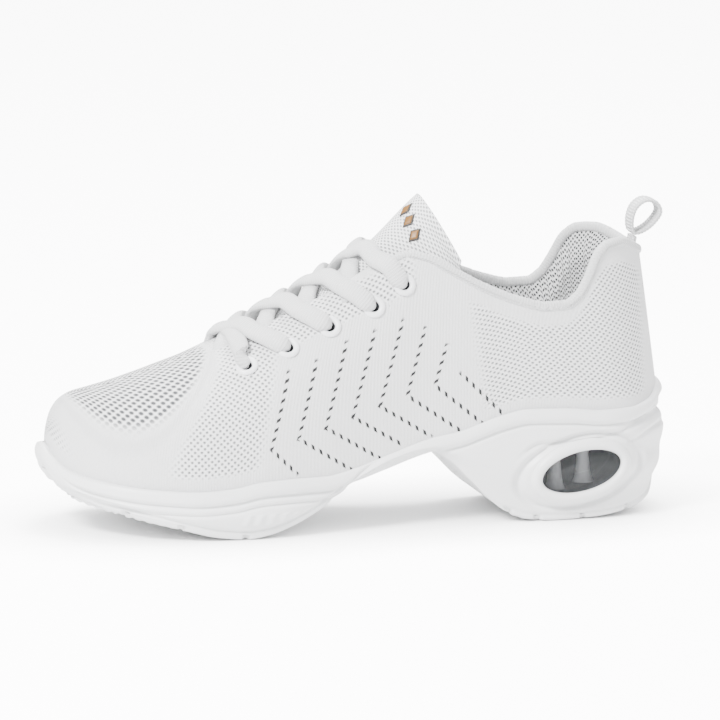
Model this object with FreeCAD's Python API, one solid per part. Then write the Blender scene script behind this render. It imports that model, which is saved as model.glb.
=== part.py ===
"""Left cheer shoe: a knitted lace-up dance trainer on a one-piece moulded sole with a deep arch and a heel air cushion.

The toe points to -X, the heel to +X, the outer (lateral) side of the foot to -Y and up is +Z. The origin is under the
middle of the shoe, on the floor. Each physical piece is built by its own function and written to parts/NAME.step.
"""
import FreeCAD, Part
import math
import os

Vec = FreeCAD.Vector

# ---- driving dimensions, in millimetres ------------------------------------------------------------------------
LENGTH = 263.0           # toe tip of the sole to the back of the heel
BALL_WIDTH = 93.0        # widest place of the sole
RIM_WALL = 2.8           # sole wall that stands round the upper
FIT_GAP = 0.15           # clearance between pieces that lie on each other

KNIT_WALL = 1.4
STIFFENER_WALL = 0.8     # toe puff and eyelet reinforcements
COUNTER_WALL = 1.3       # heel counter
LINING_WALL = 0.7
COLLAR_FOAM = 4.4
BOARD_THICK = 1.2        # strobel board under the foot
INSOLE_THICK = 3.6
INSOLE_COVER = 0.6
OUTSOLE_THICK = 2.6
TREAD_DEPTH = 1.6
TREAD_GROOVE = 2.0
BINDING_HEIGHT = 3.0

EYELET_HOLE_R = 2.4
EYELET_BARREL_R = 2.9
EYELET_FLANGE_R = 4.5
EYELET_FLANGE_THICK = 0.7
EYELET_SPAN = 24.0       # eyelet row to the middle of the shoe
LACE_R = 1.6
LACE_TAIL = 44.0         # end of the lace that hangs inside, down to its tip
AGLET_LENGTH = 14.0
AGLET_WALL = 0.45

TONGUE_FACE = 0.9
TONGUE_FOAM = 3.0
TONGUE_LINING = 0.7
TONGUE_HALF_WIDTH = 24.0
FLAP_HALF_WIDTH = 16.0     # the tongue's free end, narrow enough to pass inside the collar
FLAP_EXTRA_FALL = 1.5    # how much deeper the free end's side edges hang than the laced part's
FLAP_GAP = 0.5           # gap between the laced part of the tongue and its free end

WINDOW_X, WINDOW_Z = 88.5, 20.8
WINDOW_LONG, WINDOW_HIGH = 17.2, 8.4     # half axes of the oval window
WINDOW_TILT = 11.5                       # degrees, rear end up
CUSHION_MARGIN = 1.6                     # how far the air cushion reaches past the window's edge
CUSHION_HALF_LENGTH = 27.0               # from the middle of the heel to the cushion's end, along Y
CUSHION_WALL = 1.1
LENS_THICK = 1.6
PILLAR_R = 3.0

TAB_WIDTH = 10.0
TAB_THICK = 1.1
TAB_HEIGHT = 15.0
TAB_DEPTH = 13.3

TAB_CLEARANCE = 1.7      # loop above the collar's roll, so that it can tilt

NOMINAL_LENGTH, NOMINAL_WIDTH = 263.0, 93.0
LEAN_LEVEL = 47.0        # height at which the leaning heel sections keep their own x

# ---- outlines of the shoe: (x, value) along the shoe at its nominal length and width ---------------------------
HALF_WIDTH = [(-131, 33.5), (-97, 40.0), (-72, 43.7), (-50, 43.0), (-25, 38.3), (0, 32.5), (25, 29.8), (50, 31.3),
              (80, 33.0), (100, 32.2), (131, 29.5)]
CENTRE = [(-131, 7.0), (-110, 4.6), (-75, 0.0), (-40, -1.6), (0, -2.6), (30, -2.0), (70, -0.4), (131, 0.0)]
RIM = [(-129, 36.5), (-127, 31.5), (-122, 26.8), (-110, 23.8), (-92, 21.8), (-76, 21.0), (-62, 21.8), (-48, 24.2),
       (-34, 24.6), (-22, 24.6), (-8, 27.0), (4, 30.6), (25, 37.0), (38, 39.6), (46, 42.4), (56, 45.6), (67, 47.6),
       (84, 47.2), (100, 45.8), (112, 45.8), (121, 47.6), (129, 53.5)]
BED = [(-129, 26.0), (-118, 20.5), (-105, 17.0), (-83, 14.0), (-56, 13.0), (-34, 16.0), (-15, 22.0), (0, 28.6),
       (11, 33.0), (25, 35.2), (46, 37.6), (67, 38.6), (129, 38.6)]
CROWN = [(-129, 37.5), (-127.6, 43.0), (-125.5, 49.0), (-122, 53.2), (-117, 55.8), (-110, 57.4), (-100, 60.0),
         (-91, 63.0), (-81, 66.6), (-71, 70.2), (-62, 74.2), (-52, 79.0), (-41, 84.5), (-23, 94.0), (-10, 101.0),
         (3, 109.0), (14, 116.0), (30, 125.0), (48, 135.0), (70, 143.0), (131, 146.0)]
SQUARENESS = [(-131, 2.3), (-90, 2.25), (-52, 2.3), (-34, 2.35), (-17, 2.65), (1.4, 3.3), (14.5, 4.1), (30, 4.1),
              (60, 3.2), (131, 2.6)]
LEAN = [(-131, 0.0), (40, 0.0), (75, 0.06), (110, 0.128), (131, 0.128)]
TOPLINE = [(8, 105.5), (12, 110.0), (18, 112.3), (25, 111.0), (34, 106.3), (45, 100.2), (54, 96.0), (64, 92.4),
           (74, 90.2), (82, 90.4), (88, 94.0), (92.6, 101.0), (97, 109.5), (102, 113.4), (108, 114.0), (114, 111.8),
           (118, 109.2), (122, 106.6), (136, 99.0)]
UNDERSIDE = [(-134, 40.0), (-132.2, 28.0), (-129.6, 18.5), (-123, 15.0), (-105, 10.0), (-83, 4.8), (-64, 0.0),
             (-46, 0.0), (-34, 4.6), (-24, 9.7), (-13.5, 16.6), (-6.5, 21.5), (0, 25.2), (8, 28.8), (17, 31.0),
             (25, 31.2), (32, 27.6), (41, 18.8), (50, 9.8), (57.6, 4.6), (68, 0.0), (92, 0.0), (111, 2.6),
             (121, 5.0), (127, 9.5), (130, 17.0), (131.5, 30.0)]
THROAT = [(-59, 6.5), (-40, 9.5), (-20, 12.0), (0, 13.5), (12, 14.0)]
TONGUE_LINE = [(-56.0, 70.6), (-50.0, 74.2), (-41.0, 79.4), (-23.0, 89.6), (-10.0, 97.4), (1.3, 106.6),
               (8.0, 113.4), (13.5, 119.0), (19.0, 124.2), (25.0, 128.6), (30.0, 131.4)]
FLAP_FROM = 7            # the free end starts at this point of the tongue's line
EYELET_X = [-50.5, -33.5, -16.5, 1.0, 14.5]
GROOVE_X = [-105.0, -83.0, -55.0, 80.0, 101.0]


def curve(points, stretch=1.0):
    """A smooth line through (x, value) points that never overshoots them (monotone cubic)."""
    xs = [p[0] * stretch for p in points]
    ys = [p[1] for p in points]
    steps = [xs[i + 1] - xs[i] for i in range(len(xs) - 1)]
    slopes = [(ys[i + 1] - ys[i]) / steps[i] for i in range(len(steps))]
    tangents = [slopes[0]]
    for i in range(1, len(slopes)):
        before, after = slopes[i - 1], slopes[i]
        if before * after <= 0:
            tangents.append(0.0)
            continue
        w1 = 2 * steps[i] + steps[i - 1]
        w2 = steps[i] + 2 * steps[i - 1]
        tangents.append((w1 + w2) / (w1 / before + w2 / after))
    tangents.append(slopes[-1])

    def at(x):
        x = min(max(x, xs[0]), xs[-1])
        i = max(k for k in range(len(steps)) if x >= xs[k] or k == 0)
        u = (x - xs[i]) / steps[i]
        h00, h10 = (1 + 2 * u) * (1 - u) ** 2, u * (1 - u) ** 2
        h01, h11 = u * u * (3 - 2 * u), u * u * (u - 1)
        return h00 * ys[i] + h10 * steps[i] * tangents[i] + h01 * ys[i + 1] + h11 * steps[i] * tangents[i + 1]

    return at


STRETCH = LENGTH / NOMINAL_LENGTH
WIDEN = BALL_WIDTH / NOMINAL_WIDTH
body_width, centre, rim = curve(HALF_WIDTH, STRETCH), curve(CENTRE, STRETCH), curve(RIM, STRETCH)
bed, crown, squareness = curve(BED, STRETCH), curve(CROWN, STRETCH), curve(SQUARENESS, STRETCH)
lean, topline, throat = curve(LEAN, STRETCH), curve(TOPLINE, STRETCH), curve(THROAT, STRETCH)
underside = curve(UNDERSIDE, STRETCH)

TOE_X = -LENGTH / 2 + RIM_WALL
HEEL_X = LENGTH / 2 - RIM_WALL + 0.4
TOE_ROUND, HEEL_ROUND = 36.0, 31.0
KNIT_IN = KNIT_WALL + FIT_GAP                        # depth of the layer under the knit
VAMP_LINING_AT = KNIT_IN + STIFFENER_WALL + FIT_GAP  # depth of the front lining's outer face
VAMP_INSIDE = VAMP_LINING_AT + LINING_WALL
TONGUE_AT = VAMP_INSIDE + 2.2                        # depth of the tongue's face beside the lacing opening
FOAM_AT = KNIT_IN + COUNTER_WALL + FIT_GAP
COLLAR_LINING_AT = FOAM_AT + COLLAR_FOAM + FIT_GAP
COLLAR_INSIDE = COLLAR_LINING_AT + LINING_WALL
COLLAR_FROM = 42.0 * STRETCH                         # where the padded collar begins


def half_width(x):
    """Half width of the upper at the rim of the sole, rounded off at the toe and the heel."""
    from_toe, from_heel = x - TOE_X, HEEL_X - x
    value = (body_width(x)) * WIDEN
    if from_toe < TOE_ROUND:
        value *= math.sqrt(max(0.0, 1 - (1 - from_toe / TOE_ROUND) ** 2))
    if from_heel < HEEL_ROUND:
        value *= math.sqrt(max(0.0, 1 - (1 - from_heel / HEEL_ROUND) ** 2))
    return value


def stations(start, end, count):
    """Places along the shoe, closer together near the toe and the heel when the run reaches them."""
    places = [start + (end - start) * (1 - math.cos(math.pi * i / (count - 1))) / 2 for i in range(count)]
    return places


def inset(x, depth):
    """Where a section at x goes when the upper's surface is moved inward by depth: (x, half width, crown height)."""
    step = 0.05
    slope = (half_width(x + step) - half_width(x - step)) / (2 * step)
    across = 1 / math.hypot(1, slope)
    rise = (crown(x + step) - crown(x - step)) / (2 * step)
    up = 1 / math.hypot(1, rise)
    return x + depth * slope * across, half_width(x) - depth * across, crown(x) - depth * up


def arch_points(x, depth, floor):
    """One cross-section of the upper, from the outer side over the instep to the inner side."""
    at, wide, top = inset(x, depth)
    middle, low, power, tilt = centre(x), rim(x), squareness(x), lean(x)
    points = [(-wide, floor), (-wide, (floor + low) / 2)]
    count = 16
    for k in range(count + 1):
        angle = math.pi * k / count
        c, s = math.cos(angle), math.sin(angle)
        side = math.copysign(abs(c) ** (2 / power), -c)
        points.append((wide * side, low + (top - low) * abs(s) ** (2 / power)))
    points += [(wide, (floor + low) / 2), (wide, floor)]
    return [Vec(at - tilt * (z - LEAN_LEVEL), middle + y, z) for y, z in points]


def spline(points):
    line = Part.BSplineCurve()
    line.interpolate(points)
    return line.toShape()


def shoe_volume(depth, drop=0.0, count=24):
    """The closed volume inside the upper's surface moved inward by depth, standing on the foot bed less drop."""
    wires = []
    for x in stations(TOE_X + 0.3, HEEL_X - 0.3, count):
        points = arch_points(x, depth, bed(x) - drop)
        wires.append(Part.Wire([spline(points), Part.makeLine(points[-1], points[0])]))
    return Part.makeLoft(wires, True)


def slab(depth, low, high, count=24):
    """A sheet on the foot bed, from low to high above it, moved inward by depth from the upper's surface."""
    wires = []
    for x in stations(TOE_X + 0.3, HEEL_X - 0.3, count):
        at, wide, _ = inset(x, depth)
        y0, y1, z0, z1 = centre(x) - wide, centre(x) + wide, bed(x) + low, bed(x) + high
        x0, x1 = at - lean(x) * (z0 - LEAN_LEVEL), at - lean(x) * (z1 - LEAN_LEVEL)
        corners = [Vec(x0, y0, z0), Vec(x0, y1, z0), Vec(x1, y1, z1), Vec(x1, y0, z1)]
        wires.append(Part.makePolygon(corners + corners[:1]))
    return Part.makeLoft(wires, True)


def side_prism(points, half=80.0):
    """A polygon drawn in the side view, extended across the shoe."""
    corners = [Vec(x, -half, z) for x, z in points]
    return Part.Face(Part.makePolygon(corners + corners[:1])).extrude(Vec(0, 2 * half, 0))


def box(x0, x1, y0, y1, z0, z1):
    return Part.makeBox(x1 - x0, y1 - y0, z1 - z0, Vec(x0, y0, z0))


def over_topline(lift=0.0, start=8.0, end=136.0):
    """Everything above the collar's top line raised by lift."""
    start, end = start * STRETCH, end * STRETCH
    count = 40
    edge = [Vec(start + (end - start) * k / count, -80, 0) for k in range(count + 1)]
    edge = [Vec(p.x, -80, topline(p.x) + lift) for p in edge]
    line = spline(edge)
    top = [edge[-1], Vec(end, -80, 220), Vec(start, -80, 220), edge[0]]
    return Part.Face(Part.Wire([line] + Part.makePolygon(top).Edges)).extrude(Vec(0, 160, 0))


def throat_slot(extra=0.0):
    """The lacing opening, cut down through the top of the upper."""
    places = [(-59 + 71 * k / 12) * STRETCH for k in range(13)]
    left = [Vec(x, centre_line(x) - throat(x) - extra, 55) for x in places]
    right = [Vec(x, centre_line(x) + throat(x) + extra, 55) for x in reversed(places)]
    nose = Vec(places[0] - throat(places[0]) - extra, centre_line(places[0]), 55)
    edges = [spline(left), Part.makeLine(left[-1], right[0]), spline(right)]
    edges.append(Part.Arc(right[-1], nose, left[0]).toShape())
    return Part.Face(Part.Wire(edges)).extrude(Vec(0, 0, 120))


def centre_line(x):
    return centre(x)


def surface_point(x, y, depth=0.0):
    """The point of the upper's surface, moved inward by depth, above (x, y); for the part of the shoe that doesn't lean."""
    _, wide, top = inset(x, depth)
    share = min(1.0, abs(y - centre(x)) / wide)
    power = squareness(x)
    return Vec(x, y, rim(x) + (top - rim(x)) * (1 - share ** power) ** (1 / power))


def surface_normal(x, y):
    step = 0.5
    along = surface_point(x + step, y) - surface_point(x - step, y)
    across = surface_point(x, y + step) - surface_point(x, y - step)
    return along.cross(across).normalize()


# ---- sole ------------------------------------------------------------------------------------------------------
def sole_block():
    """The sole's outline in plan, extruded and cut off along the rim; the side profile is cut out of it later."""
    left, right = [], []
    for x in stations(TOE_X + 0.3, HEEL_X - 0.3, 30):
        at, wide, _ = inset(x, -RIM_WALL)
        left.append(Vec(at, centre(x) - wide, -10))
        right.append(Vec(at, centre(x) + wide, -10))
    outline = Part.BSplineCurve()
    outline.interpolate(Points=left + right[::-1], PeriodicFlag=True)
    block = Part.Face(Part.Wire([outline.toShape()])).extrude(Vec(0, 0, 100))
    edge = [Vec(x, -80, rim(x)) for x in (-140 + 7 * k for k in range(41))]
    over = [edge[-1], Vec(edge[-1].x, -80, 220), Vec(edge[0].x, -80, 220), edge[0]]
    return block.cut(Part.Face(Part.Wire([spline(edge)] + Part.makePolygon(over).Edges)).extrude(Vec(0, 160, 0)))


def profile(lift, first, last):
    """The underside's corner points between two places, raised by lift."""
    points = [(x * STRETCH, z + lift) for x, z in UNDERSIDE if first - 0.01 <= x <= last + 0.01]
    return points


def below(lift=0.0):
    """Everything under the sole's side profile raised by lift."""
    points = profile(lift, -134, 132)
    ends = [(points[-1][0] + 10, points[-1][1]), (points[-1][0] + 10, -40), (points[0][0] - 10, -40),
            (points[0][0] - 10, points[0][1])]
    return side_prism(points + ends)


PAD_SPANS = {"outsole_forefoot": (-123, -34), "outsole_heel": (57.6, 121)}


def pad_band(first, last, low, high):
    lower, upper = profile(low, first, last), profile(high, first, last)
    return side_prism(lower + upper[::-1])


def outsole(block, name):
    """A rubber tread pad as wide as the sole, with grooves across it and along it."""
    first, last = PAD_SPANS[name]
    pad = block.common(pad_band(first, last, 0.0, OUTSOLE_THICK))
    for x in GROOVE_X:
        if first < x < last:
            at, z = x * STRETCH, underside(x * STRETCH)
            pad = pad.cut(box(at - TREAD_GROOVE / 2, at + TREAD_GROOVE / 2, -80, 80, z - 2, z + TREAD_DEPTH))
    return pad


def oval(long_half, high_half, y0, y1):
    """An oval bar across the heel on the window's axis."""
    ellipse = Part.Ellipse(Vec(0, 0, 0), long_half, high_half).toShape()
    bar = Part.Face(Part.Wire([ellipse])).extrude(Vec(0, 0, y1 - y0))
    bar.rotate(Vec(0, 0, 0), Vec(1, 0, 0), 90)
    bar.rotate(Vec(0, 0, 0), Vec(0, 1, 0), -WINDOW_TILT)
    bar.translate(Vec(WINDOW_X * STRETCH, y1, WINDOW_Z))
    return bar


def sole_unit(block):
    """One moulding: side wall, foot bed and arch, with a tunnel for the air cushion and an oval window each side."""
    unit = block.cut(below(0.0))
    for first, last in PAD_SPANS.values():
        unit = unit.cut(pad_band(first, last, -5.0, OUTSOLE_THICK))
    unit = unit.cut(slab(-FIT_GAP - 0.35, -0.05, 60.0))
    tunnel = CUSHION_MARGIN + FIT_GAP
    half = CUSHION_HALF_LENGTH * WIDEN + FIT_GAP
    unit = unit.cut(oval(WINDOW_LONG + tunnel, WINDOW_HIGH + tunnel, -half, half))
    unit = unit.cut(oval(WINDOW_LONG, WINDOW_HIGH, -80, 80))
    unit = unit.cut(shank_shape(FIT_GAP))
    return unit


def shank_shape(grow=0.0):
    """A stiff arch plate let into the foot bed; grown, it is the pocket cut for it."""
    start, end = -18 * STRETCH, 42 * STRETCH
    wires = []
    for x in stations(start - grow, end + grow, 9):
        z1, z0, half = bed(x) - 0.1 + grow * 8, bed(x) - 1.3 - grow, 8.0 + grow
        corners = [Vec(x, -half, z0), Vec(x, half, z0), Vec(x, half, z1), Vec(x, -half, z1)]
        wires.append(Part.makePolygon(corners + corners[:1]))
    return Part.makeLoft(wires, True)


def air_cushion():
    """A clear hollow bladder across the heel, closed at both ends."""
    half = CUSHION_HALF_LENGTH * WIDEN
    body = oval(WINDOW_LONG + CUSHION_MARGIN, WINDOW_HIGH + CUSHION_MARGIN, -half, half)
    wall = CUSHION_WALL
    hollow = oval(WINDOW_LONG + CUSHION_MARGIN - wall, WINDOW_HIGH + CUSHION_MARGIN - wall, -half + wall, half - wall)
    return body.cut(hollow)


def air_pillars():
    """Waisted support posts inside the cushion, on both sides of the heel."""
    gap = CUSHION_WALL + FIT_GAP
    room = oval(WINDOW_LONG + CUSHION_MARGIN - gap, WINDOW_HIGH + CUSHION_MARGIN - gap, -60, 60)
    posts = []
    for along in (-8.5, 3.5):
        for y in (-17.0 * WIDEN, 0.0, 17.0 * WIDEN):
            x = WINDOW_X * STRETCH + along
            post = Part.makeCone(PILLAR_R, PILLAR_R * 0.62, 26, Vec(x, y, WINDOW_Z - 13), Vec(0, 0, 1))
            posts.append(post.common(room))
    return posts


def lens(side):
    """A clear oval pane that closes the window on one side."""
    start = CUSHION_HALF_LENGTH * WIDEN + FIT_GAP
    y0, y1 = (start, start + LENS_THICK) if side > 0 else (-start - LENS_THICK, -start)
    return oval(WINDOW_LONG - FIT_GAP, WINDOW_HIGH - FIT_GAP, y0, y1)


# ---- upper -----------------------------------------------------------------------------------------------------
def eyelet_places():
    """Each eyelet as (name, centre on the upper's surface, outward normal)."""
    places = []
    for side, word in ((-1, "lateral"), (1, "medial")):
        for number, x in enumerate(EYELET_X, 1):
            at = x * STRETCH
            y = centre(at) + side * EYELET_SPAN * WIDEN
            places.append((f"eyelet_{word}_{number}", surface_point(at, y), surface_normal(at, y)))
    return places


def punched(shape, radius):
    """The shape with a round hole of this radius at every eyelet."""
    for _, point, normal in eyelet_places():
        shape = shape.cut(Part.makeCylinder(radius, 24, point - normal * 12, normal))
    return shape


def trimmed(shape, lift=0.0):
    return shape.cut(over_topline(lift)).cut(throat_slot())


def layer(outer, inner, drop=0.0):
    """The sheet between two depths under the upper's surface."""
    return shoe_volume(outer, drop).cut(shoe_volume(inner, drop + 2))


def knit_upper():
    return punched(trimmed(layer(0.0, KNIT_WALL)), EYELET_BARREL_R + FIT_GAP)


def toe_puff():
    sheet = layer(KNIT_IN, KNIT_IN + STIFFENER_WALL, -BOARD_THICK)
    return sheet.common(box(TOE_X - 5, -92 * STRETCH, -80, 80, 0, 120))


def eyestay(side):
    """A hidden reinforcement tape under one row of eyelets."""
    sheet = layer(KNIT_IN, KNIT_IN + STIFFENER_WALL)
    y0, y1 = (6.0, 33.0 * WIDEN) if side > 0 else (-33.0 * WIDEN, -6.0)
    sheet = sheet.common(box(-58 * STRETCH, 20 * STRETCH, y0, y1, 62, 140))
    return punched(sheet.cut(over_topline(-1.0)).cut(throat_slot(1.0)), EYELET_BARREL_R + FIT_GAP)


def vamp_lining():
    sheet = layer(VAMP_LINING_AT, VAMP_INSIDE, -BOARD_THICK - FIT_GAP)
    sheet = sheet.common(box(TOE_X - 5, COLLAR_FROM - 1.0, -80, 80, 0, 140))
    return punched(trimmed(sheet, -0.5), EYELET_BARREL_R + FIT_GAP)


def heel_counter():
    sheet = layer(KNIT_IN, KNIT_IN + COUNTER_WALL, -BOARD_THICK - FIT_GAP)
    wedge = side_prism([(58 * STRETCH, 20), (150, 20), (150, 82), (100 * STRETCH, 80), (70 * STRETCH, 60)])
    return sheet.common(wedge)


def collar_foam():
    sheet = layer(FOAM_AT, FOAM_AT + COLLAR_FOAM)
    sheet = sheet.common(box(COLLAR_FROM - 1, 150, -80, 80, 64, 140))
    return trimmed(sheet, -0.6)


def collar_lining():
    sheet = layer(COLLAR_LINING_AT, COLLAR_INSIDE)
    return trimmed(sheet.common(box(COLLAR_FROM - 1, 150, -80, 80, 47, 140)), -0.3)


def collar_binding():
    """The soft roll that closes the knit's top edge all round the collar."""
    sheet = layer(-0.2, VAMP_INSIDE + 0.2)
    band = over_topline(FIT_GAP, 14).cut(over_topline(BINDING_HEIGHT, 8))
    return sheet.common(band).cut(box(-20, 25 * STRETCH, -80, 80, 0, 200))


def strobel_board():
    return slab(KNIT_IN + 0.2, 0.1, BOARD_THICK - 0.1)


def insole():
    return slab(VAMP_INSIDE + 0.5, BOARD_THICK + FIT_GAP, BOARD_THICK + FIT_GAP + INSOLE_THICK)


def insole_cover():
    low = BOARD_THICK + 2 * FIT_GAP + INSOLE_THICK
    return slab(VAMP_INSIDE + 0.6, low, low + INSOLE_COVER)


def eyelet(point, normal):
    """A rolled ring: a barrel through the layers, a flange outside and a smaller one inside."""
    depth = VAMP_INSIDE + 0.5
    outside, inside = point + normal * 0.6, point - normal * (depth + 0.6)
    ring = Part.makeCylinder(EYELET_BARREL_R, depth + 1.2 + EYELET_FLANGE_THICK, inside, normal)
    ring = ring.fuse(Part.makeCylinder(EYELET_FLANGE_R, EYELET_FLANGE_THICK, outside, normal))
    ring = ring.fuse(Part.makeCylinder(EYELET_BARREL_R + 0.7, 0.5, inside, normal))
    return ring.cut(Part.makeCylinder(EYELET_HOLE_R, 20, point - normal * 10, normal)).removeSplitter()


# ---- tongue ----------------------------------------------------------------------------------------------------
def tongue_frame(index):
    """A point of the tongue's middle line and the directions along the tongue and square down through it."""
    line = [Vec(x * STRETCH, 0, z) for x, z in TONGUE_LINE]
    along = (line[min(index + 1, len(line) - 1)] - line[max(index - 1, 0)]).normalize()
    here = line[index] + Vec(0, centre(line[index].x), 0)
    return here, along, Vec(along.z, 0, -along.x)


def tongue_fall(index, y):
    """How far the tongue's face lies below its middle line at a distance y from it; it follows the vamp's inside."""
    if index >= FLAP_FROM:
        edge = tongue_fall(FLAP_FROM - 1, FLAP_HALF_WIDTH * WIDEN) + FLAP_EXTRA_FALL
        return edge * (math.hypot(y, 6.0) - 6.0) / (math.hypot(FLAP_HALF_WIDTH * WIDEN, 6.0) - 6.0)
    here, _, down = tongue_frame(index)
    middle = here.y

    def depth_to_vamp(offset):
        low, high = -20.0, 60.0
        for _ in range(30):
            guess = (low + high) / 2
            point = here + down * guess
            if point.z > surface_point(point.x, middle + offset, TONGUE_AT).z:
                low = guess
            else:
                high = guess
        return low

    share = min(1.0, abs(y) / (11.0 * WIDEN))
    settled = share * share * (3 - 2 * share)
    return depth_to_vamp(y) - (1 - settled) * depth_to_vamp(0.0)


def tongue_half(index):
    """Half width of the tongue: narrow where it is sewn in, widest under the laces, slimmer at the free end."""
    if index >= FLAP_FROM:
        return FLAP_HALF_WIDTH * WIDEN
    return (TONGUE_HALF_WIDTH - (10.0, 5.0, 2.0, 0.0, 1.0, 3.0, 6.0)[index]) * WIDEN


def tongue_section(index, outer, inner, margin=0.0, shift=0.0):
    """One cross-section of the tongue, square to its middle line, between two depths under its face."""
    here, along, down = tongue_frame(index)
    here = here + along * shift
    half = tongue_half(index) - margin
    ys = [half * k / 6 for k in range(-6, 7)]
    falls = [tongue_fall(index, y) for y in ys]

    def arc(depth):
        points = []
        for k, y in enumerate(ys):
            before, after = max(k - 1, 0), min(k + 1, 12)
            slope = (falls[after] - falls[before]) / (ys[after] - ys[before])
            size = math.hypot(1, slope)
            points.append(here + down * (falls[k] + depth / size) + Vec(0, y - depth * slope / size, 0))
        return points

    top, bottom = arc(outer), arc(inner)[::-1]
    return Part.Wire([spline(top), Part.makeLine(top[-1], bottom[0]), spline(bottom),
                      Part.makeLine(bottom[-1], top[0])])


def tongue_base(outer, inner, margin=0.0):
    """A layer of the tongue from its sewn end up to the fold under the last lace crossing."""
    return Part.makeLoft([tongue_section(i, outer, inner, margin) for i in range(FLAP_FROM)]
                         + [tongue_section(FLAP_FROM, outer, inner, margin, -FLAP_GAP / 2)], True)


def tongue_flap(outer, inner, margin=0.0):
    """A layer of the tongue's free end."""
    return Part.makeLoft([tongue_section(FLAP_FROM, outer, inner, margin, FLAP_GAP / 2)]
                         + [tongue_section(i, outer, inner, margin) for i in range(FLAP_FROM + 1, len(TONGUE_LINE))],
                         True)


def tongue_motif():
    """Three small diamonds in raised thread, side by side on the outer half of the tongue's free end."""
    here, along, down = tongue_frame(FLAP_FROM + 3)
    stones = []
    for y in (-6.0, -10.0, -14.0):
        fall, slope = tongue_fall(FLAP_FROM, y), tongue_fall(FLAP_FROM, y - 1) - tongue_fall(FLAP_FROM, y)
        across = (Vec(0, -1, 0) + down * slope).normalize()
        foot = here + down * (fall - 0.25) + Vec(0, y, 0)
        corners = [foot + along * 2.2, foot + across * 1.5, foot - along * 2.2, foot - across * 1.5]
        face = Part.Face(Part.makePolygon(corners + corners[:1]))
        stones.append(face.extrude(down * -0.5))
    return stones


# ---- lace ------------------------------------------------------------------------------------------------------
tongue_height = curve(TONGUE_LINE, STRETCH)


def lace_route():
    """Points of the criss-cross lace, from its outer-side end to its inner-side end."""
    lift, deep = LACE_R + 1.1, VAMP_INSIDE + LACE_R + 0.55
    rows = len(EYELET_X)

    def place(row, side):
        at = EYELET_X[row] * STRETCH
        y = centre(at) + side * EYELET_SPAN * WIDEN
        return surface_point(at, y), surface_normal(at, y)

    def outside(row, side):
        point, normal = place(row, side)
        toward = Vec(-1.5, -side * 5.0, 0)
        near = surface_point(point.x + toward.x, point.y + toward.y)
        return [near + surface_normal(near.x, near.y) * lift, point + normal * 2.4]

    def inside(row, side):
        point, normal = place(row, side)
        ahead = (EYELET_X[min(row + 1, rows - 1)] - EYELET_X[row]) * STRETCH * 0.28
        mid = surface_point(point.x + ahead * 0.5, point.y - side * 5.5)
        edge = surface_point(point.x + ahead, point.y - side * 11.5)
        return [point - normal * (deep + 0.6), mid - surface_normal(mid.x, mid.y) * deep,
                edge - surface_normal(edge.x, edge.y) * (deep - 1.0)]

    def crossing(row, over):
        x = (EYELET_X[row] + EYELET_X[row + 1]) / 2 * STRETCH
        return Vec(x, centre(x), tongue_height(x) + LACE_R + 0.5 + (2 * LACE_R + 0.5 if over else 0.0))

    def half(side):
        """From the bottom bar's middle up one end of the lace."""
        points = []
        for row in range(rows):
            points += outside(row, side)
            if row == rows - 1:
                point, normal = place(row, side)
                start = point - normal * (deep + 0.8)
                tip = start + Vec(8, side * 1.5, -LACE_TAIL)
                points += [start, start + Vec(6, side * 0.6, -8), tip]
                break
            points += inside(row, side)
            points.append(crossing(row, side > 0))
            side = -side
        return points

    x = EYELET_X[0] * STRETCH - 2.0
    bar = Vec(x, centre(x), crown(x) + LACE_R + 1.2)
    left, right = half(-1), half(1)
    return left[::-1] + [bar] + right


def rounded_wire(points, largest):
    """Straight runs joined by tangent arcs."""
    edges, last = [], points[0]
    for k in range(1, len(points) - 1):
        a, b, c = points[k - 1], points[k], points[k + 1]
        u, v = (a - b), (c - b)
        reach = 0.45 * min(u.Length, v.Length)
        u.normalize()
        v.normalize()
        bend = math.pi - u.getAngle(v)
        if bend < 0.02:
            continue
        radius = min(largest, reach / math.tan(bend / 2))
        cut = radius * math.tan(bend / 2)
        start, end = b + u * cut, b + v * cut
        middle = (u + v).normalize()
        centre_to = radius / math.cos(bend / 2) - radius
        edges.append(Part.makeLine(last, start))
        edges.append(Part.Arc(start, b + middle * centre_to, end).toShape())
        last = end
    edges.append(Part.makeLine(last, points[-1]))
    return Part.Wire(edges)


def aglet(points):
    """The plastic tip crimped round one end of the lace."""
    toward = (points[1] - points[0]).normalize()
    start = points[0] - toward * 0.4
    tip = Part.makeCylinder(LACE_R + AGLET_WALL + 0.1, AGLET_LENGTH, start, toward)
    return tip.cut(Part.makeCylinder(LACE_R + 0.1, AGLET_LENGTH, points[0], toward))


def tube(points, radius, largest):
    path = rounded_wire(points, largest)
    start = points[0]
    ring = Part.Wire([Part.makeCircle(radius, start, points[1] - start)])
    return path.makePipeShell([ring], True, False), path


# ---- pull tab --------------------------------------------------------------------------------------------------
def tab_hinge():
    """The line where the pull loop leaves the heel's top edge."""
    z = topline(119 * STRETCH) + BINDING_HEIGHT + TAB_CLEARANCE
    return Vec(HEEL_X - 0.128 * (z - LEAN_LEVEL) - 1.6, 0, z)


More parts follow.
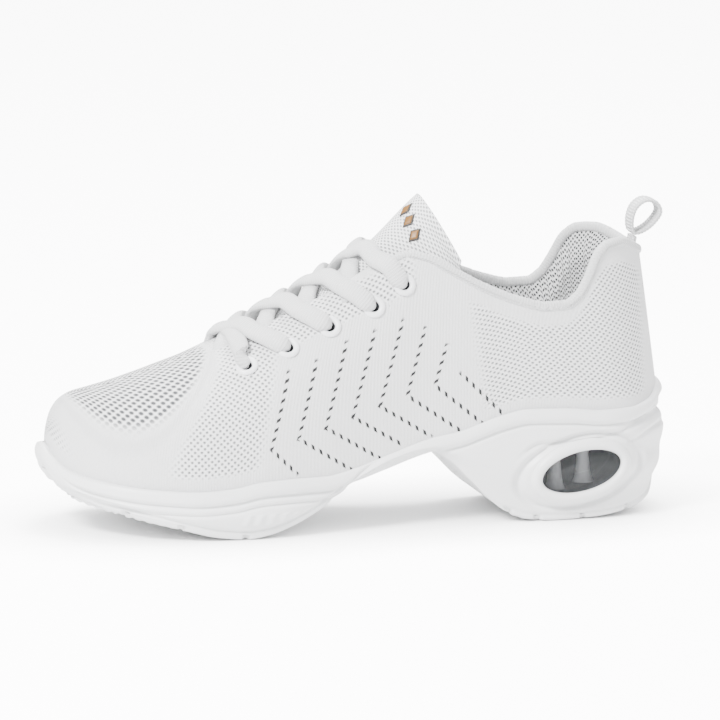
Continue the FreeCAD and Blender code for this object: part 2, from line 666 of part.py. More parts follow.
def pull_tab():
    """A folded webbing loop, drop-shaped in the side view."""
    foot = tab_hinge()
    shape = [(0.0, 0.0), (-0.12, 0.36), (0.02, 0.78), (0.38, 1.0), (0.76, 0.9), (0.88, 0.58), (0.52, 0.17)]
    points = [Vec(foot.x + a * TAB_DEPTH, -TAB_WIDTH / 2, foot.z + b * TAB_HEIGHT) for a, b in shape]
    line = Part.BSplineCurve()
    line.interpolate(Points=points, PeriodicFlag=True)
    middle = Vec(foot.x + 0.36 * TAB_DEPTH, -TAB_WIDTH / 2, foot.z + 0.52 * TAB_HEIGHT)
    outer, inner, count = [], [], 60
    for k in range(count):
        place = line.FirstParameter + (line.LastParameter - line.FirstParameter) * k / count
        point = line.value(place)
        outer.append(point)
        inner.append(point + (middle - point).normalize() * TAB_THICK)
    solid = Part.Face(Part.makePolygon(outer + outer[:1])).extrude(Vec(0, TAB_WIDTH, 0))
    return solid.cut(Part.Face(Part.makePolygon(inner + inner[:1])).extrude(Vec(0, TAB_WIDTH, 0)))


def tab_anchor():
    """The loop's sewn end, between the knit and the collar foam."""
    sheet = layer(KNIT_IN, KNIT_IN + COUNTER_WALL)
    half = TAB_WIDTH / 2
    return sheet.common(box(100, 140, -half, half, 85, topline(122 * STRETCH) - 1.0))


def build():
    block = sole_block()
    parts = {
        "sole_unit": sole_unit(block),
        "outsole_forefoot": outsole(block, "outsole_forefoot"),
        "outsole_heel": outsole(block, "outsole_heel"),
        "arch_shank": shank_shape(),
        "air_cushion": air_cushion(),
        "window_lateral": lens(-1),
        "window_medial": lens(1),
        "strobel_board": strobel_board(),
        "insole": insole(),
        "insole_cover": insole_cover(),
        "knit_upper": knit_upper(),
        "toe_puff": toe_puff(),
        "eyestay_lateral": eyestay(-1),
        "eyestay_medial": eyestay(1),
        "vamp_lining": vamp_lining(),
        "heel_counter": heel_counter(),
        "collar_foam": collar_foam(),
        "collar_lining": collar_lining(),
        "collar_binding": collar_binding(),
        "pull_tab": pull_tab(),
        "pull_tab_anchor": tab_anchor(),
    }
    layers = {"face": (0.0, TONGUE_FACE, 0.0), "foam": (TONGUE_FACE + FIT_GAP, TONGUE_FACE + TONGUE_FOAM, 2.0)}
    low = TONGUE_FACE + TONGUE_FOAM + FIT_GAP
    layers["lining"] = (low, low + TONGUE_LINING, 0.0)
    for name, (outer, inner, margin) in layers.items():
        parts[f"tongue_{name}"] = tongue_base(outer, inner, margin)
        parts[f"tongue_flap_{name}"] = tongue_flap(outer, inner, margin)
    for number, post in enumerate(air_pillars(), 1):
        parts[f"air_pillar_{number}"] = post
    for number, stone in enumerate(tongue_motif(), 1):
        parts[f"tongue_stone_{number}"] = stone
    for name, point, normal in eyelet_places():
        parts[name] = eyelet(point, normal)
    route = lace_route()
    parts["aglet_lateral"] = aglet(route)
    parts["aglet_medial"] = aglet(route[::-1])
    lace, path = tube(route, LACE_R, 6.0)
    parts["shoelace"] = lace
    print("lace length", round(path.Length, 1), "volume ratio", lace.Volume / (math.pi * LACE_R ** 2 * path.Length))
    return parts


def main():
    os.makedirs("parts", exist_ok=True)
    for name, shape in build().items():
        shape.exportStep(f"parts/{name}.step")
        box_ = shape.BoundBox
        print(f"{name:20s} solids {len(shape.Solids)} valid {shape.isValid()} volume {shape.Volume:9.1f}  "
              f"x {box_.XMin:7.1f} {box_.XMax:7.1f}  y {box_.YMin:6.1f} {box_.YMax:6.1f}  z {box_.ZMin:6.1f} {box_.ZMax:6.1f}")


main()
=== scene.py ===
"""Looks of the left cheer shoe: knit, laces, tongue, sole and heel window, riding on the CAD bodies."""
import math

import bmesh
import bpy
import numpy as np
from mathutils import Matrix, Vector


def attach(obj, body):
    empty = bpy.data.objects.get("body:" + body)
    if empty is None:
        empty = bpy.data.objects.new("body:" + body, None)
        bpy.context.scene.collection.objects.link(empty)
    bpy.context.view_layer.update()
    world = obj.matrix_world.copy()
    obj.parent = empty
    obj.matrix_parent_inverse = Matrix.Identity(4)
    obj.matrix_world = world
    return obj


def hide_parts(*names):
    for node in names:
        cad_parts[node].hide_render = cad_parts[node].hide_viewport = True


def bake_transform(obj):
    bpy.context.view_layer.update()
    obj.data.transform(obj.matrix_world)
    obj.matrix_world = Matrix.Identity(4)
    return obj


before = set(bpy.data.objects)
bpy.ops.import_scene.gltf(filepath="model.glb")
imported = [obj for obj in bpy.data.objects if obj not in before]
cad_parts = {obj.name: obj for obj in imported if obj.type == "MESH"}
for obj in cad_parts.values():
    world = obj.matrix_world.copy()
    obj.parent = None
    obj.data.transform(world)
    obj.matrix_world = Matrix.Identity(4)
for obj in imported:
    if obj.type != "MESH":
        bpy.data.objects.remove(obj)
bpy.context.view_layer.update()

MM = 0.001

# ---- outlines of the shoe in millimetres, following the CAD's ------------------------------------
HALF_WIDTH = [(-131, 33.5), (-97, 40.0), (-72, 43.7), (-50, 43.0), (-25, 38.3), (0, 32.5), (25, 29.8),
              (50, 31.3), (80, 33.0), (100, 32.2), (131, 29.5)]
CENTRE = [(-131, 7.0), (-110, 4.6), (-75, 0.0), (-40, -1.6), (0, -2.6), (30, -2.0), (70, -0.4),
          (131, 0.0)]
RIM = [(-129, 36.5), (-127, 31.5), (-122, 26.8), (-110, 23.8), (-92, 21.8), (-76, 21.0), (-62, 21.8),
       (-48, 24.2), (-34, 24.6), (-22, 24.6), (-8, 27.0), (4, 30.6), (25, 37.0), (38, 39.6), (46, 42.4),
       (56, 45.6), (67, 47.6), (84, 47.2), (100, 45.8), (112, 45.8), (121, 47.6), (129, 53.5)]
CROWN = [(-129, 37.5), (-127.6, 43.0), (-125.5, 49.0), (-122, 53.2), (-117, 55.8), (-110, 57.4),
         (-100, 60.0), (-91, 63.0), (-81, 66.6), (-71, 70.2), (-62, 74.2), (-52, 79.0), (-41, 84.5),
         (-23, 94.0), (-10, 101.0), (3, 109.0), (14, 116.0), (30, 125.0), (48, 135.0), (70, 143.0),
         (131, 146.0)]
SQUARENESS = [(-131, 2.3), (-90, 2.25), (-52, 2.3), (-34, 2.35), (-17, 2.65), (1.4, 3.3), (14.5, 4.1),
              (30, 4.1), (60, 3.2), (131, 2.6)]
LEAN = [(-131, 0.0), (40, 0.0), (75, 0.06), (110, 0.128), (131, 0.128)]
TOPLINE = [(8, 105.5), (12, 110.0), (18, 112.3), (25, 111.0), (34, 106.3), (45, 100.2), (54, 96.0),
           (64, 92.4), (74, 90.2), (82, 90.4), (88, 94.0), (92.6, 101.0), (97, 109.5), (102, 113.4),
           (108, 114.0), (114, 111.8), (118, 109.2), (122, 106.6), (136, 99.0)]
UNDERSIDE = [(-134, 40.0), (-132.2, 28.0), (-129.6, 18.5), (-123, 15.0), (-105, 10.0), (-83, 4.8),
             (-66, 1.1), (-55, 0.1), (-45, 1.4), (-34, 4.8), (-24, 9.7), (-13.5, 16.6), (-6.5, 21.5),
             (0, 25.2), (8, 28.8), (17, 31.0), (25, 31.2), (32, 27.6), (41, 18.8), (50, 9.8), (57.6, 4.2),
             (66, 1.0), (78, 0.1), (92, 0.5), (111, 2.6), (121, 5.0), (127, 9.5), (130, 17.0),
             (131.5, 30.0)]
THROAT = [(-58, 7.0), (-40, 10.0), (-20, 12.5), (0, 14.0), (14, 15.0)]
# x of each eyelet row and its distance from the middle line. A separate script fitted these ten
# numbers to the seen eyelets; they weren't chosen by hand, and they differ from the CAD's.
EYELET_X = (-51.9, -34.5, -16.8, 1.6, 14.5)
EYELET_SPAN = (27.2, 26.6, 25.8, 26.6, 26.6)
LEAN_LEVEL = 47.0         # height at which the leaning heel sections keep their own x
TOE_X, HEEL_X = -128.7, 129.1
TICK_PITCH = 4.0          # the knit's slanted ticks, along their line
LACE_WIDTH, LACE_THICK = 8.2, 3.5
LACE_REACH = 8.0          # how far ahead of its eyelet row a lace strand leaves the inner side
RIM_WALL = 2.8
WINDOW = (88.5, 20.8, 17.2, 8.4, math.radians(11.5))   # middle x and z, half length, half height, tilt


def curve(points):
    """A smooth line through (x, value) points that never overshoots them (monotone cubic)."""
    xs = np.array([p[0] for p in points], float)
    ys = np.array([p[1] for p in points], float)
    h = np.diff(xs)
    d = np.diff(ys) / h
    m = np.zeros(len(xs))
    m[0], m[-1] = d[0], d[-1]
    for i in range(1, len(d)):
        if d[i - 1] * d[i] > 0:
            w1, w2 = 2 * h[i] + h[i - 1], h[i] + 2 * h[i - 1]
            m[i] = (w1 + w2) / (w1 / d[i - 1] + w2 / d[i])

    def at(x):
        x = np.clip(np.asarray(x, float), xs[0], xs[-1])
        i = np.clip(np.searchsorted(xs, x, side="right") - 1, 0, len(h) - 1)
        u = (x - xs[i]) / h[i]
        return ((1 + 2 * u) * (1 - u) ** 2 * ys[i] + u * (1 - u) ** 2 * h[i] * m[i]
                + u * u * (3 - 2 * u) * ys[i + 1] + u * u * (u - 1) * h[i] * m[i + 1])

    return at


body_width, centre, rim, crown = curve(HALF_WIDTH), curve(CENTRE), curve(RIM), curve(CROWN)
squareness, lean, topline, underside, throat = map(curve, (SQUARENESS, LEAN, TOPLINE, UNDERSIDE, THROAT))


def smooth(edge0, edge1, value):
    t = np.clip((np.asarray(value, float) - edge0) / (edge1 - edge0), 0, 1)
    return t * t * (3 - 2 * t)


def half_width(x):
    """Half width of the upper at the rim of the sole, rounded off at the toe and the heel."""
    x = np.asarray(x, float)
    toe = np.sqrt(np.clip(1 - (1 - np.clip((x - TOE_X) / 36.0, 0, 1)) ** 2, 0, 1))
    heel = np.sqrt(np.clip(1 - (1 - np.clip((HEEL_X - x) / 31.0, 0, 1)) ** 2, 0, 1))
    return body_width(x) * toe * heel


def inset(x, depth):
    """Where a section goes when the surface moves inward by depth: (x, half width, crown height)."""
    step = 0.05
    slope = (half_width(x + step) - half_width(x - step)) / (2 * step)
    across = 1 / np.hypot(1, slope)
    rise = (crown(x + step) - crown(x - step)) / (2 * step)
    return x + depth * slope * across, half_width(x) - depth * across, crown(x) - depth / np.hypot(1, rise)


def stations(start, end, count):
    """Places along the shoe, closer together near the ends."""
    t = np.linspace(0, 1, count)
    bent = (1 - np.cos(math.pi * t)) / 2
    share = 0.75
    return start + (end - start) * (share * bent + (1 - share) * t)


def side_curve(x, side, depth=0.0, skirt=3.0):
    """One side's section line from just under the rim to the middle line, as points (x, y, z)."""
    at, wide, top = inset(x, depth)
    low, power, tilt = rim(x), squareness(x), lean(x)
    a = np.linspace(0, math.pi / 2, 500)
    y = wide * np.cos(a).clip(0) ** (2 / power)
    z = low + (top - low) * np.sin(a) ** (2 / power)
    y, z = np.concatenate([[wide], y]), np.concatenate([[low - skirt], z])
    return np.stack([at - tilt * (z - LEAN_LEVEL), centre(x) + side * y, z], 1)


def surface_point(x, y, depth=0.0):
    _, wide, top = inset(x, depth)
    share = min(1.0, abs(y - float(centre(x))) / float(wide))
    power = float(squareness(x))
    low = float(rim(x))
    return Vector((x, y, low + (float(top) - low) * (1 - share ** power) ** (1 / power)))


def surface_normal(x, y):
    along = surface_point(x + 0.5, y) - surface_point(x - 0.5, y)
    across = surface_point(x, y + 0.5) - surface_point(x, y - 0.5)
    return along.cross(across).normalized()


def resample(points, count):
    """The same line as count points evenly spaced along it."""
    steps = np.linalg.norm(np.diff(points, axis=0), axis=1)
    run = np.concatenate([[0], np.cumsum(steps)])
    want = np.linspace(0, 1, count) * run[-1]
    return np.stack([np.interp(want, run, points[:, k]) for k in range(3)], 1), want


# ---- mesh helpers --------------------------------------------------------------------------------
def grid_object(name, points, closed_u=False, closed_v=False, uv=None, keep=None, attributes=None,
                flip=False):
    """A mesh from a grid of points in millimetres, shape (n, m, 3)."""
    n, m = points.shape[:2]
    index = np.arange(n * m).reshape(n, m)
    rows = np.arange(n if closed_u else n - 1)
    cols = np.arange(m if closed_v else m - 1)
    r, c = np.meshgrid(rows, cols, indexing="ij")
    r2, c2 = (r + 1) % n, (c + 1) % m
    quads = np.stack([index[r, c], index[r2, c], index[r2, c2], index[r, c2]], -1).reshape(-1, 4)
    if flip:
        quads = quads[:, ::-1]
    if keep is not None:
        quads = quads[keep.reshape(-1)]
    mesh = bpy.data.meshes.new(name)
    mesh.from_pydata((points.reshape(-1, 3) * MM).tolist(), [], quads.tolist())
    if uv is not None:
        layer = mesh.uv_layers.new(name="UVMap")
        loops = np.empty(len(mesh.loops), int)
        mesh.loops.foreach_get("vertex_index", loops)
        layer.data.foreach_set("uv", uv.reshape(-1, 2)[loops].astype(np.float32).reshape(-1))
    for key, values in (attributes or {}).items():
        layer = mesh.attributes.new(key, "FLOAT", "POINT")
        layer.data.foreach_set("value", values.reshape(-1).astype(np.float32))
    mesh.polygons.foreach_set("use_smooth", [True] * len(mesh.polygons))
    mesh.update()
    obj = bpy.data.objects.new(name, mesh)
    bpy.context.collection.objects.link(obj)
    return obj


def clean(obj, merge=0.00002):
    """Merge doubled points, drop loose ones and make the normals agree."""
    work = bmesh.new()
    work.from_mesh(obj.data)
    bmesh.ops.remove_doubles(work, verts=work.verts, dist=merge)
    bmesh.ops.delete(work, geom=[v for v in work.verts if not v.link_faces], context="VERTS")
    bmesh.ops.recalc_face_normals(work, faces=work.faces)
    work.to_mesh(obj.data)
    work.free()
    return obj


def join(name, objects):
    """Several meshes as one object."""
    bpy.ops.object.select_all(action="DESELECT")
    for obj in objects:
        obj.select_set(True)
    bpy.context.view_layer.objects.active = objects[0]
    bpy.ops.object.join()
    objects[0].name = name
    return objects[0]


def solidify(obj, thickness):
    """Gives a sheet its thickness, inward."""
    mod = obj.modifiers.new("thickness", "SOLIDIFY")
    mod.thickness, mod.offset, mod.use_even_offset = thickness * MM, -1.0, False
    return obj


def catmull(points, count, closed=False):
    """A smooth line through points, as count evenly spaced points."""
    p = np.array([tuple(q) for q in points], float)
    p = np.vstack([p[-1:], p, p[:2]]) if closed else np.vstack([2 * p[0] - p[1], p, 2 * p[-1] - p[-2]])
    out = []
    for i in range(1, len(p) - 2):
        t = np.linspace(0, 1, 24, endpoint=False)[:, None]
        out.append(0.5 * (2 * p[i] + (p[i + 1] - p[i - 1]) * t
                          + (2 * p[i - 1] - 5 * p[i] + 4 * p[i + 1] - p[i + 2]) * t ** 2
                          + (3 * p[i] - p[i - 1] - 3 * p[i + 1] + p[i + 2]) * t ** 3))
    out = np.vstack(out + ([] if closed else [p[-2][None]]))
    if closed:
        out = np.vstack([out, out[:1]])
    return resample(out, count)


def sweep(name, path, ups, profile, closed=False, caps=True):
    """A profile (k, 2: across, up) carried along a path, kept upright by the ups."""
    n = len(path)
    tangent = np.gradient(path, axis=0)
    if closed:
        tangent = np.roll(path, -1, 0) - np.roll(path, 1, 0)
    tangent /= np.linalg.norm(tangent, axis=1)[:, None]
    side = np.cross(tangent, ups)
    side /= np.linalg.norm(side, axis=1)[:, None]
    up = np.cross(side, tangent)
    prof = profile if profile.ndim == 3 else np.repeat(profile[None], n, 0)
    points = path[:, None] + side[:, None] * prof[:, :, :1] + up[:, None] * prof[:, :, 1:]
    run = np.concatenate([[0], np.cumsum(np.linalg.norm(np.diff(path, axis=0), axis=1))])
    around = np.linspace(0, 1, prof.shape[1], endpoint=False)
    uv = np.stack(np.meshgrid(run, around, indexing="ij"), -1)
    obj = grid_object(name, points, closed_u=closed, closed_v=True, uv=uv)
    if caps and not closed:
        work = bmesh.new()
        work.from_mesh(obj.data)
        bmesh.ops.holes_fill(work, edges=[e for e in work.edges if e.is_boundary])
        work.to_mesh(obj.data)
        work.free()
    return obj


def oval_profile(wide, high, count, power):
    """A superellipse of this width and height."""
    a = np.linspace(0, 2 * math.pi, count, endpoint=False)
    c, s = np.cos(a), np.sin(a)
    across = wide / 2 * np.sign(c) * abs(c) ** (2 / power)
    up = high / 2 * np.sign(s) * abs(s) ** (2 / power)
    return np.stack([across, up], 1)


# ---- material helpers ----------------------------------------------------------------------------
class Nodes:
    """A small builder of shader node graphs."""

    def __init__(self, name, color, roughness, **settings):
        self.material = bpy.data.materials.new(name)
        self.material.use_nodes = True
        self.tree = self.material.node_tree
        self.bsdf = self.tree.nodes["Principled BSDF"]
        self.bsdf.inputs["Base Color"].default_value = (*color, 1)
        self.bsdf.inputs["Roughness"].default_value = roughness
        for key, value in settings.items():
            self.bsdf.inputs[key.replace("_", " ")].default_value = value

    def new(self, kind, **values):
        node = self.tree.nodes.new("ShaderNode" + kind)
        for key, value in values.items():
            setattr(node, key, value)
        return node

    def put(self, socket, value):
        if isinstance(value, (int, float, tuple)):
            socket.default_value = value
        else:
            self.tree.links.new(value, socket)

    def math(self, operation, a, b=0.0, c=0.0):
        node = self.new("Math", operation=operation)
        for socket, value in zip(node.inputs, (a, b, c)):
            self.put(socket, value)
        return node.outputs[0]

    def attribute(self, name):
        return self.new("Attribute", attribute_name=name).outputs["Fac"]

    def uv(self, scale=(1, 1, 1), turn=0.0):
        node = self.new("Mapping")
        self.put(node.inputs["Vector"], self.new("UVMap", uv_map="UVMap").outputs[0])
        node.inputs["Rotation"].default_value = (0, 0, turn)
        node.inputs["Scale"].default_value = scale
        return node.outputs[0]

    def place(self):
        return self.new("TexCoord").outputs["Object"]

    def ramp(self, value, low, high, a=0.0, b=1.0):
        node = self.new("MapRange", interpolation_type="SMOOTHSTEP")
        keys = ("Value", "From Min", "From Max", "To Min", "To Max")
        for key, entry in zip(keys, (value, low, high, a, b)):
            self.put(node.inputs[key], entry)
        return node.outputs["Result"]

    def mix(self, factor, a, b):
        node = self.new("Mix", data_type="RGBA")
        self.put(node.inputs["Factor"], factor)
        for socket, value in ((node.inputs["A"], a), (node.inputs["B"], b)):
            self.put(socket, value)
        return node.outputs["Result"]

    def dots(self, vector, size, edge):
        """A square lattice of round dimples, 1 in their middles."""
        node = self.new("TexVoronoi", feature="F1")
        node.inputs["Randomness"].default_value = 0.0
        node.inputs["Scale"].default_value = 1.0
        self.put(node.inputs["Vector"], vector)
        return self.ramp(node.outputs["Distance"], size - edge, size, 1.0, 0.0)

    def wave(self, vector, scale, direction):
        node = self.new("TexWave", bands_direction=direction)
        node.inputs["Scale"].default_value = scale
        self.put(node.inputs["Vector"], vector)
        return node.outputs["Fac"]

    def noise(self, vector, scale, detail):
        node = self.new("TexNoise")
        node.inputs["Scale"].default_value = scale
        node.inputs["Detail"].default_value = detail
        self.put(node.inputs["Vector"], vector)
        return node.outputs["Fac"]

    def finish(self, color=None, height=None, distance=0.0003, strength=1.0, roughness=None):
        if color is not None:
            self.put(self.bsdf.inputs["Base Color"], color)
        if roughness is not None:
            self.put(self.bsdf.inputs["Roughness"], roughness)
        if height is not None:
            bump = self.new("Bump")
            bump.inputs["Distance"].default_value = distance
            bump.inputs["Strength"].default_value = strength
            self.put(bump.inputs["Height"], height)
            self.put(self.bsdf.inputs["Normal"], bump.outputs[0])
        return self.material


def knit_material():
    """White knit: fine ribs, dimpled lattices by zone, and small slanted ticks in the chevron area, with
    painted shade in the dimples, rib valleys and ticks.
    """
    k = Nodes("white_knit", (0.86, 0.865, 0.87), 0.78)
    k.bsdf.inputs["Sheen Weight"].default_value = 0.15
    fine = k.wave(k.uv(), 0.62, "Y")
    cross = k.wave(k.uv(), 0.5, "X")
    lattice = k.dots(k.uv((0.52, 0.52, 1), math.radians(45)), 0.42, 0.34)
    window = k.dots(k.uv((0.38, 0.38, 1), math.radians(45)), 0.52, 0.32)
    heel = k.dots(k.uv((0.46, 0.66, 1), math.radians(38)), 0.42, 0.34)
    zones = ("zone_lattice", "zone_window", "zone_heel", "zone_rib")
    zl, zw, zh, zr = (k.attribute(name) for name in zones)
    along = k.math("MULTIPLY_ADD", k.attribute("slot_across"), -1.0, k.attribute("slot_along"))
    row = k.math("ABSOLUTE", k.math("SUBTRACT", k.math("FRACT", k.math("DIVIDE", along, TICK_PITCH)), 0.5))
    across = k.math("ABSOLUTE", k.attribute("slot_across"))
    tick = k.math("MULTIPLY", k.ramp(across, 0.62, 0.88, 1.0, 0.0), k.ramp(row, 0.15, 0.23, 1.0, 0.0))
    tick = k.math("MULTIPLY", tick, k.attribute("slot_on"))
    holes = k.math("MAXIMUM", k.math("MULTIPLY", lattice, zl), k.math("MULTIPLY", heel, zh))
    holes = k.math("MAXIMUM", holes, k.math("MULTIPLY", window, zw))
    toe_holes = k.math("MULTIPLY", window, zw)
    # The dimples are painted near-black: painted shade in them.
    shade = k.math("MAXIMUM", k.math("MULTIPLY", holes, 0.85), toe_holes)
    tone = k.mix(shade, (0.87, 0.872, 0.878, 1), (0.04, 0.042, 0.046, 1))
    # The rib valleys are painted darker: painted shade.
    rib_valley_shade = k.math("MULTIPLY", k.math("SUBTRACT", 1.0, fine), k.math("MULTIPLY_ADD", zr, 0.12, 0.10))
    tone = k.mix(rib_valley_shade, tone, (0.3, 0.31, 0.32, 1))
    # The sunk ticks are painted near-black: painted shade in them.
    tone = k.mix(tick, tone, (0.012, 0.012, 0.013, 1))
    seam = k.attribute("seam")
    tone = k.mix(k.math("MULTIPLY", seam, 0.30), tone, (0.5, 0.5, 0.51, 1))
    height = k.math("MULTIPLY_ADD", holes, -0.9, k.math("MULTIPLY", fine, 0.20))
    height = k.math("MULTIPLY_ADD", cross, k.math("MULTIPLY", zr, 0.28), height)
    height = k.math("MULTIPLY_ADD", tick, -1.2, height)
    height = k.math("MULTIPLY_ADD", seam, -0.8, height)
    return k.finish(tone, height, 0.0006, 1.0)


def weave_material(name, color, across=1.0, along=1.0, dark=0.15, roughness=0.8):
    """Closely woven tape; UVs run in millimetres along the tape and 0 to 1 round it."""
    k = Nodes(name, color, roughness)
    a = k.wave(k.uv(), along, "DIAGONAL")
    b = k.wave(k.uv((1, across, 1)), 1.0, "Y")
    weave = k.math("MULTIPLY", a, b)
    shade = tuple(c * (1 - dark) for c in color)
    return k.finish(k.mix(weave, (*shade, 1), (*color, 1)), weave, 0.00035, 0.8)


def mesh_material(name, color, pitch, hole=(0.3, 0.3, 0.31), size=0.4, depth=0.8):
    """Knitted mesh whose small holes are painted dark for the shade in them; UVs in millimetres."""
    k = Nodes(name, color, 0.85)
    holes = k.dots(k.uv((1 / pitch, 1 / pitch, 1), math.radians(45)), size, 0.25)
    rib = k.wave(k.uv(), 0.8, "X")
    tone = k.mix(k.math("MULTIPLY", holes, depth), (*color, 1), (*hole, 1))
    return k.finish(tone, k.math("MULTIPLY_ADD", holes, -1.0, k.math("MULTIPLY", rib, 0.2)), 0.0004, 0.9)


def plastic_material(name, color, roughness, grain=900, depth=0.00002, variation=0.03, **settings):
    """Moulded plastic or rubber with a faint grain and a little unevenness of tone."""
    k = Nodes(name, color, roughness, **settings)
    spread = k.noise(k.place(), 40, 3)
    low = tuple(c * (1 - variation) for c in color)
    tone = k.mix(spread, (*low, 1), (*color, 1))
    rough = k.ramp(k.noise(k.place(), 120, 2), 0.3, 0.7, roughness * 0.85, roughness * 1.15)
    return k.finish(tone, k.noise(k.place(), grain, 2), depth, 0.5, rough)


KNIT = knit_material()
SOLE = plastic_material("sole_rubber", (0.82, 0.825, 0.83), 0.38, 700, 0.00003)
TREAD = plastic_material("tread_rubber", (0.80, 0.805, 0.81), 0.55, 900, 0.00004)
LACE = weave_material("lace_weave", (0.87, 0.875, 0.88), 14, 0.55, 0.3)
BINDING = weave_material("binding_rib", (0.86, 0.865, 0.87), 10, 0.5, 0.3)
WEBBING = weave_material("webbing_rib", (0.86, 0.865, 0.87), 2, 0.5, 0.4)
# The hole colours below are painted shade in the mesh holes.
LINING = mesh_material("collar_mesh", (0.66, 0.665, 0.67), 1.5, (0.02, 0.02, 0.022), 0.44, 1.0)
TONGUE = mesh_material("tongue_mesh", (0.86, 0.865, 0.87), 1.3, (0.05, 0.05, 0.055), 0.42, 0.7)
INSOLE = mesh_material("insole_cloth", (0.78, 0.785, 0.79), 1.6, (0.5, 0.5, 0.51), 0.36, 0.4)
EYELET = plastic_material("eyelet_paint", (0.84, 0.845, 0.86), 0.28, 500, 0.00001, 0.02)
GOLD = weave_material("gold_thread", (0.34, 0.15, 0.018), 4, 0.9, 0.5, 0.45)
# Near-black under the gold diamonds: painted shadow round them.
SHADOW_THREAD = weave_material("painted_shadow_thread", (0.05, 0.045, 0.04), 4, 0.9, 0.4, 0.6)
# Near-black for the eyelet holes and the bladder's inside: painted shade.
PAINTED_SHADE = plastic_material("painted_shade_inside", (0.05, 0.052, 0.056), 0.5, 300, 0.00003)
PILLAR = plastic_material("pillar_plastic", (0.42, 0.43, 0.45), 0.3, 300, 0.00002)
CLEAR = plastic_material("clear_pane", (0.10, 0.105, 0.11), 0.06, 300, 0.00001, 0.02, Alpha=0.28)
TIP = plastic_material("lace_tip", (0.8, 0.8, 0.8), 0.2, 300, 0.00001)


def dress(obj, material):
    obj.data.materials.clear()
    obj.data.materials.append(material)
    return obj


# ---- upper ---------------------------------------------------------------------------------------
def throat_edge(x):
    """Half width of the lacing opening at x; rounded at its toe end and zero in front of it."""
    start, nose = -53.5, 6.0
    if x < start - nose:
        return 0.0
    if x < start:
        return nose * math.sqrt(max(0.0, 1 - ((start - x) / nose) ** 2))
    return float(throat(x))


def chevrons():
    """The eight lines of ticks on each side: top, turning point and lower end, in (x, z)."""
    tops = [(-35, 66), (-23, 70), (-10, 77), (2, 81), (14, 85), (23.5, 81.5), (32.5, 74), None]
    ends = [(-34, 27.5), (-10, 27), (3, 30.5), (12, 36), (25, 38.5), (38, 40), (47, 43), (55.5, 47)]
    lines = []
    for k in range(8):
        turn = (-44 + 12.0 * k, 37.2 + 3.6 * k)
        lines.append([p for p in (tops[k], turn, ends[k]) if p])
    return lines


def slot_fields(x, z):
    """Distance across and along the nearest chevron line, and how near it is."""
    best = np.full(x.shape, 99.0)
    across, along = np.zeros(x.shape), np.zeros(x.shape)
    for line in chevrons():
        run = 0.0
        for (x0, z0), (x1, z1) in zip(line[:-1], line[1:]):
            length = math.hypot(x1 - x0, z1 - z0)
            ux, uz = (x1 - x0) / length, (z1 - z0) / length
            s = (x - x0) * ux + (z - z0) * uz
            d = (x - x0) * uz - (z - z0) * ux
            reach = np.hypot(d, np.clip(-s, 0, None) + np.clip(s - length, 0, None))
            near = reach < best
            best = np.where(near, reach, best)
            across, along = np.where(near, d, across), np.where(near, s + run, along)
            run += length
    return across, along, smooth(2.6, 1.7, best)


def upper_zones(x, y, z):
    """Where each knit pattern lies on the upper."""
    above = z - rim(x)
    off = np.abs(y - centre(x))
    reach = np.hypot((x + 92) / 28.0, off / 34.0)
    window = smooth(1.05, 0.93, reach)
    band = smooth(1.20, 1.30, reach)
    front = smooth(-46, -52, x + (z - 37) * -0.25) * smooth(4, 7, above) * band
    eyestay = smooth(-64, -58, x) * smooth(22, 16, x) * smooth(6, 4, np.abs(z - (72 + (x + 50) * 0.46)) - 3)
    eyestay *= smooth(-1.0, 1.0, z - (70 + (x + 50) * 0.42))
    quarter = smooth(44, 50, x - (z - 60) * -0.15) * smooth(3, 6, above) * smooth(7, 10, topline(x) - z)
    quarter *= smooth(121, 115, x)
    rib = np.clip(1 - front - eyestay - quarter - window, 0, 1)
    seam = smooth(0.05, 0.01, np.abs(reach - 1.1))
    return {"zone_window": window, "zone_lattice": np.maximum(front, eyestay), "zone_heel": quarter,
            "zone_rib": rib, "seam": seam * 0.6}


def upper_side(side, depth=0.0, count=330, rows=140, start=TOE_X + 0.02, end=HEEL_X - 0.02):
    """Grid of one side of the upper with its top edge on the throat and the topline."""
    xs = stations(start, end, count)
    lines, heights = [], []
    for x in xs:
        line = side_curve(x, side, depth)
        limit = throat_edge(float(x)) if x < 40 else 0.0
        keep = np.abs(line[:, 1] - centre(x)) >= limit - 1e-6
        if x > 0:
            keep &= (line[:, 2] <= topline(line[:, 0])) | (line[:, 0] < 8)
        stop = len(line) if keep.all() else int(np.argmin(keep))
        points, run = resample(line[:max(stop, 3)], rows)
        lines.append(points)
        heights.append(run)
    plan = np.concatenate([[0], np.cumsum(np.hypot(np.diff(xs), np.diff(half_width(xs))))])
    grid, runs = np.array(lines), np.array(heights)
    for last in (0, -1):
        grid[last, :, 1] = float(centre(xs[last]))
    uv = np.stack([np.repeat(plan[:, None], rows, 1), runs], -1)
    return grid, uv


def eyelets():
    """Each eyelet's centre, outward normal and side."""
    out = []
    for side in (-1, 1):
        for x, span in zip(EYELET_X, EYELET_SPAN):
            y = float(centre(x)) + side * span
            out.append((surface_point(x, y), surface_normal(x, y), side))
    return out


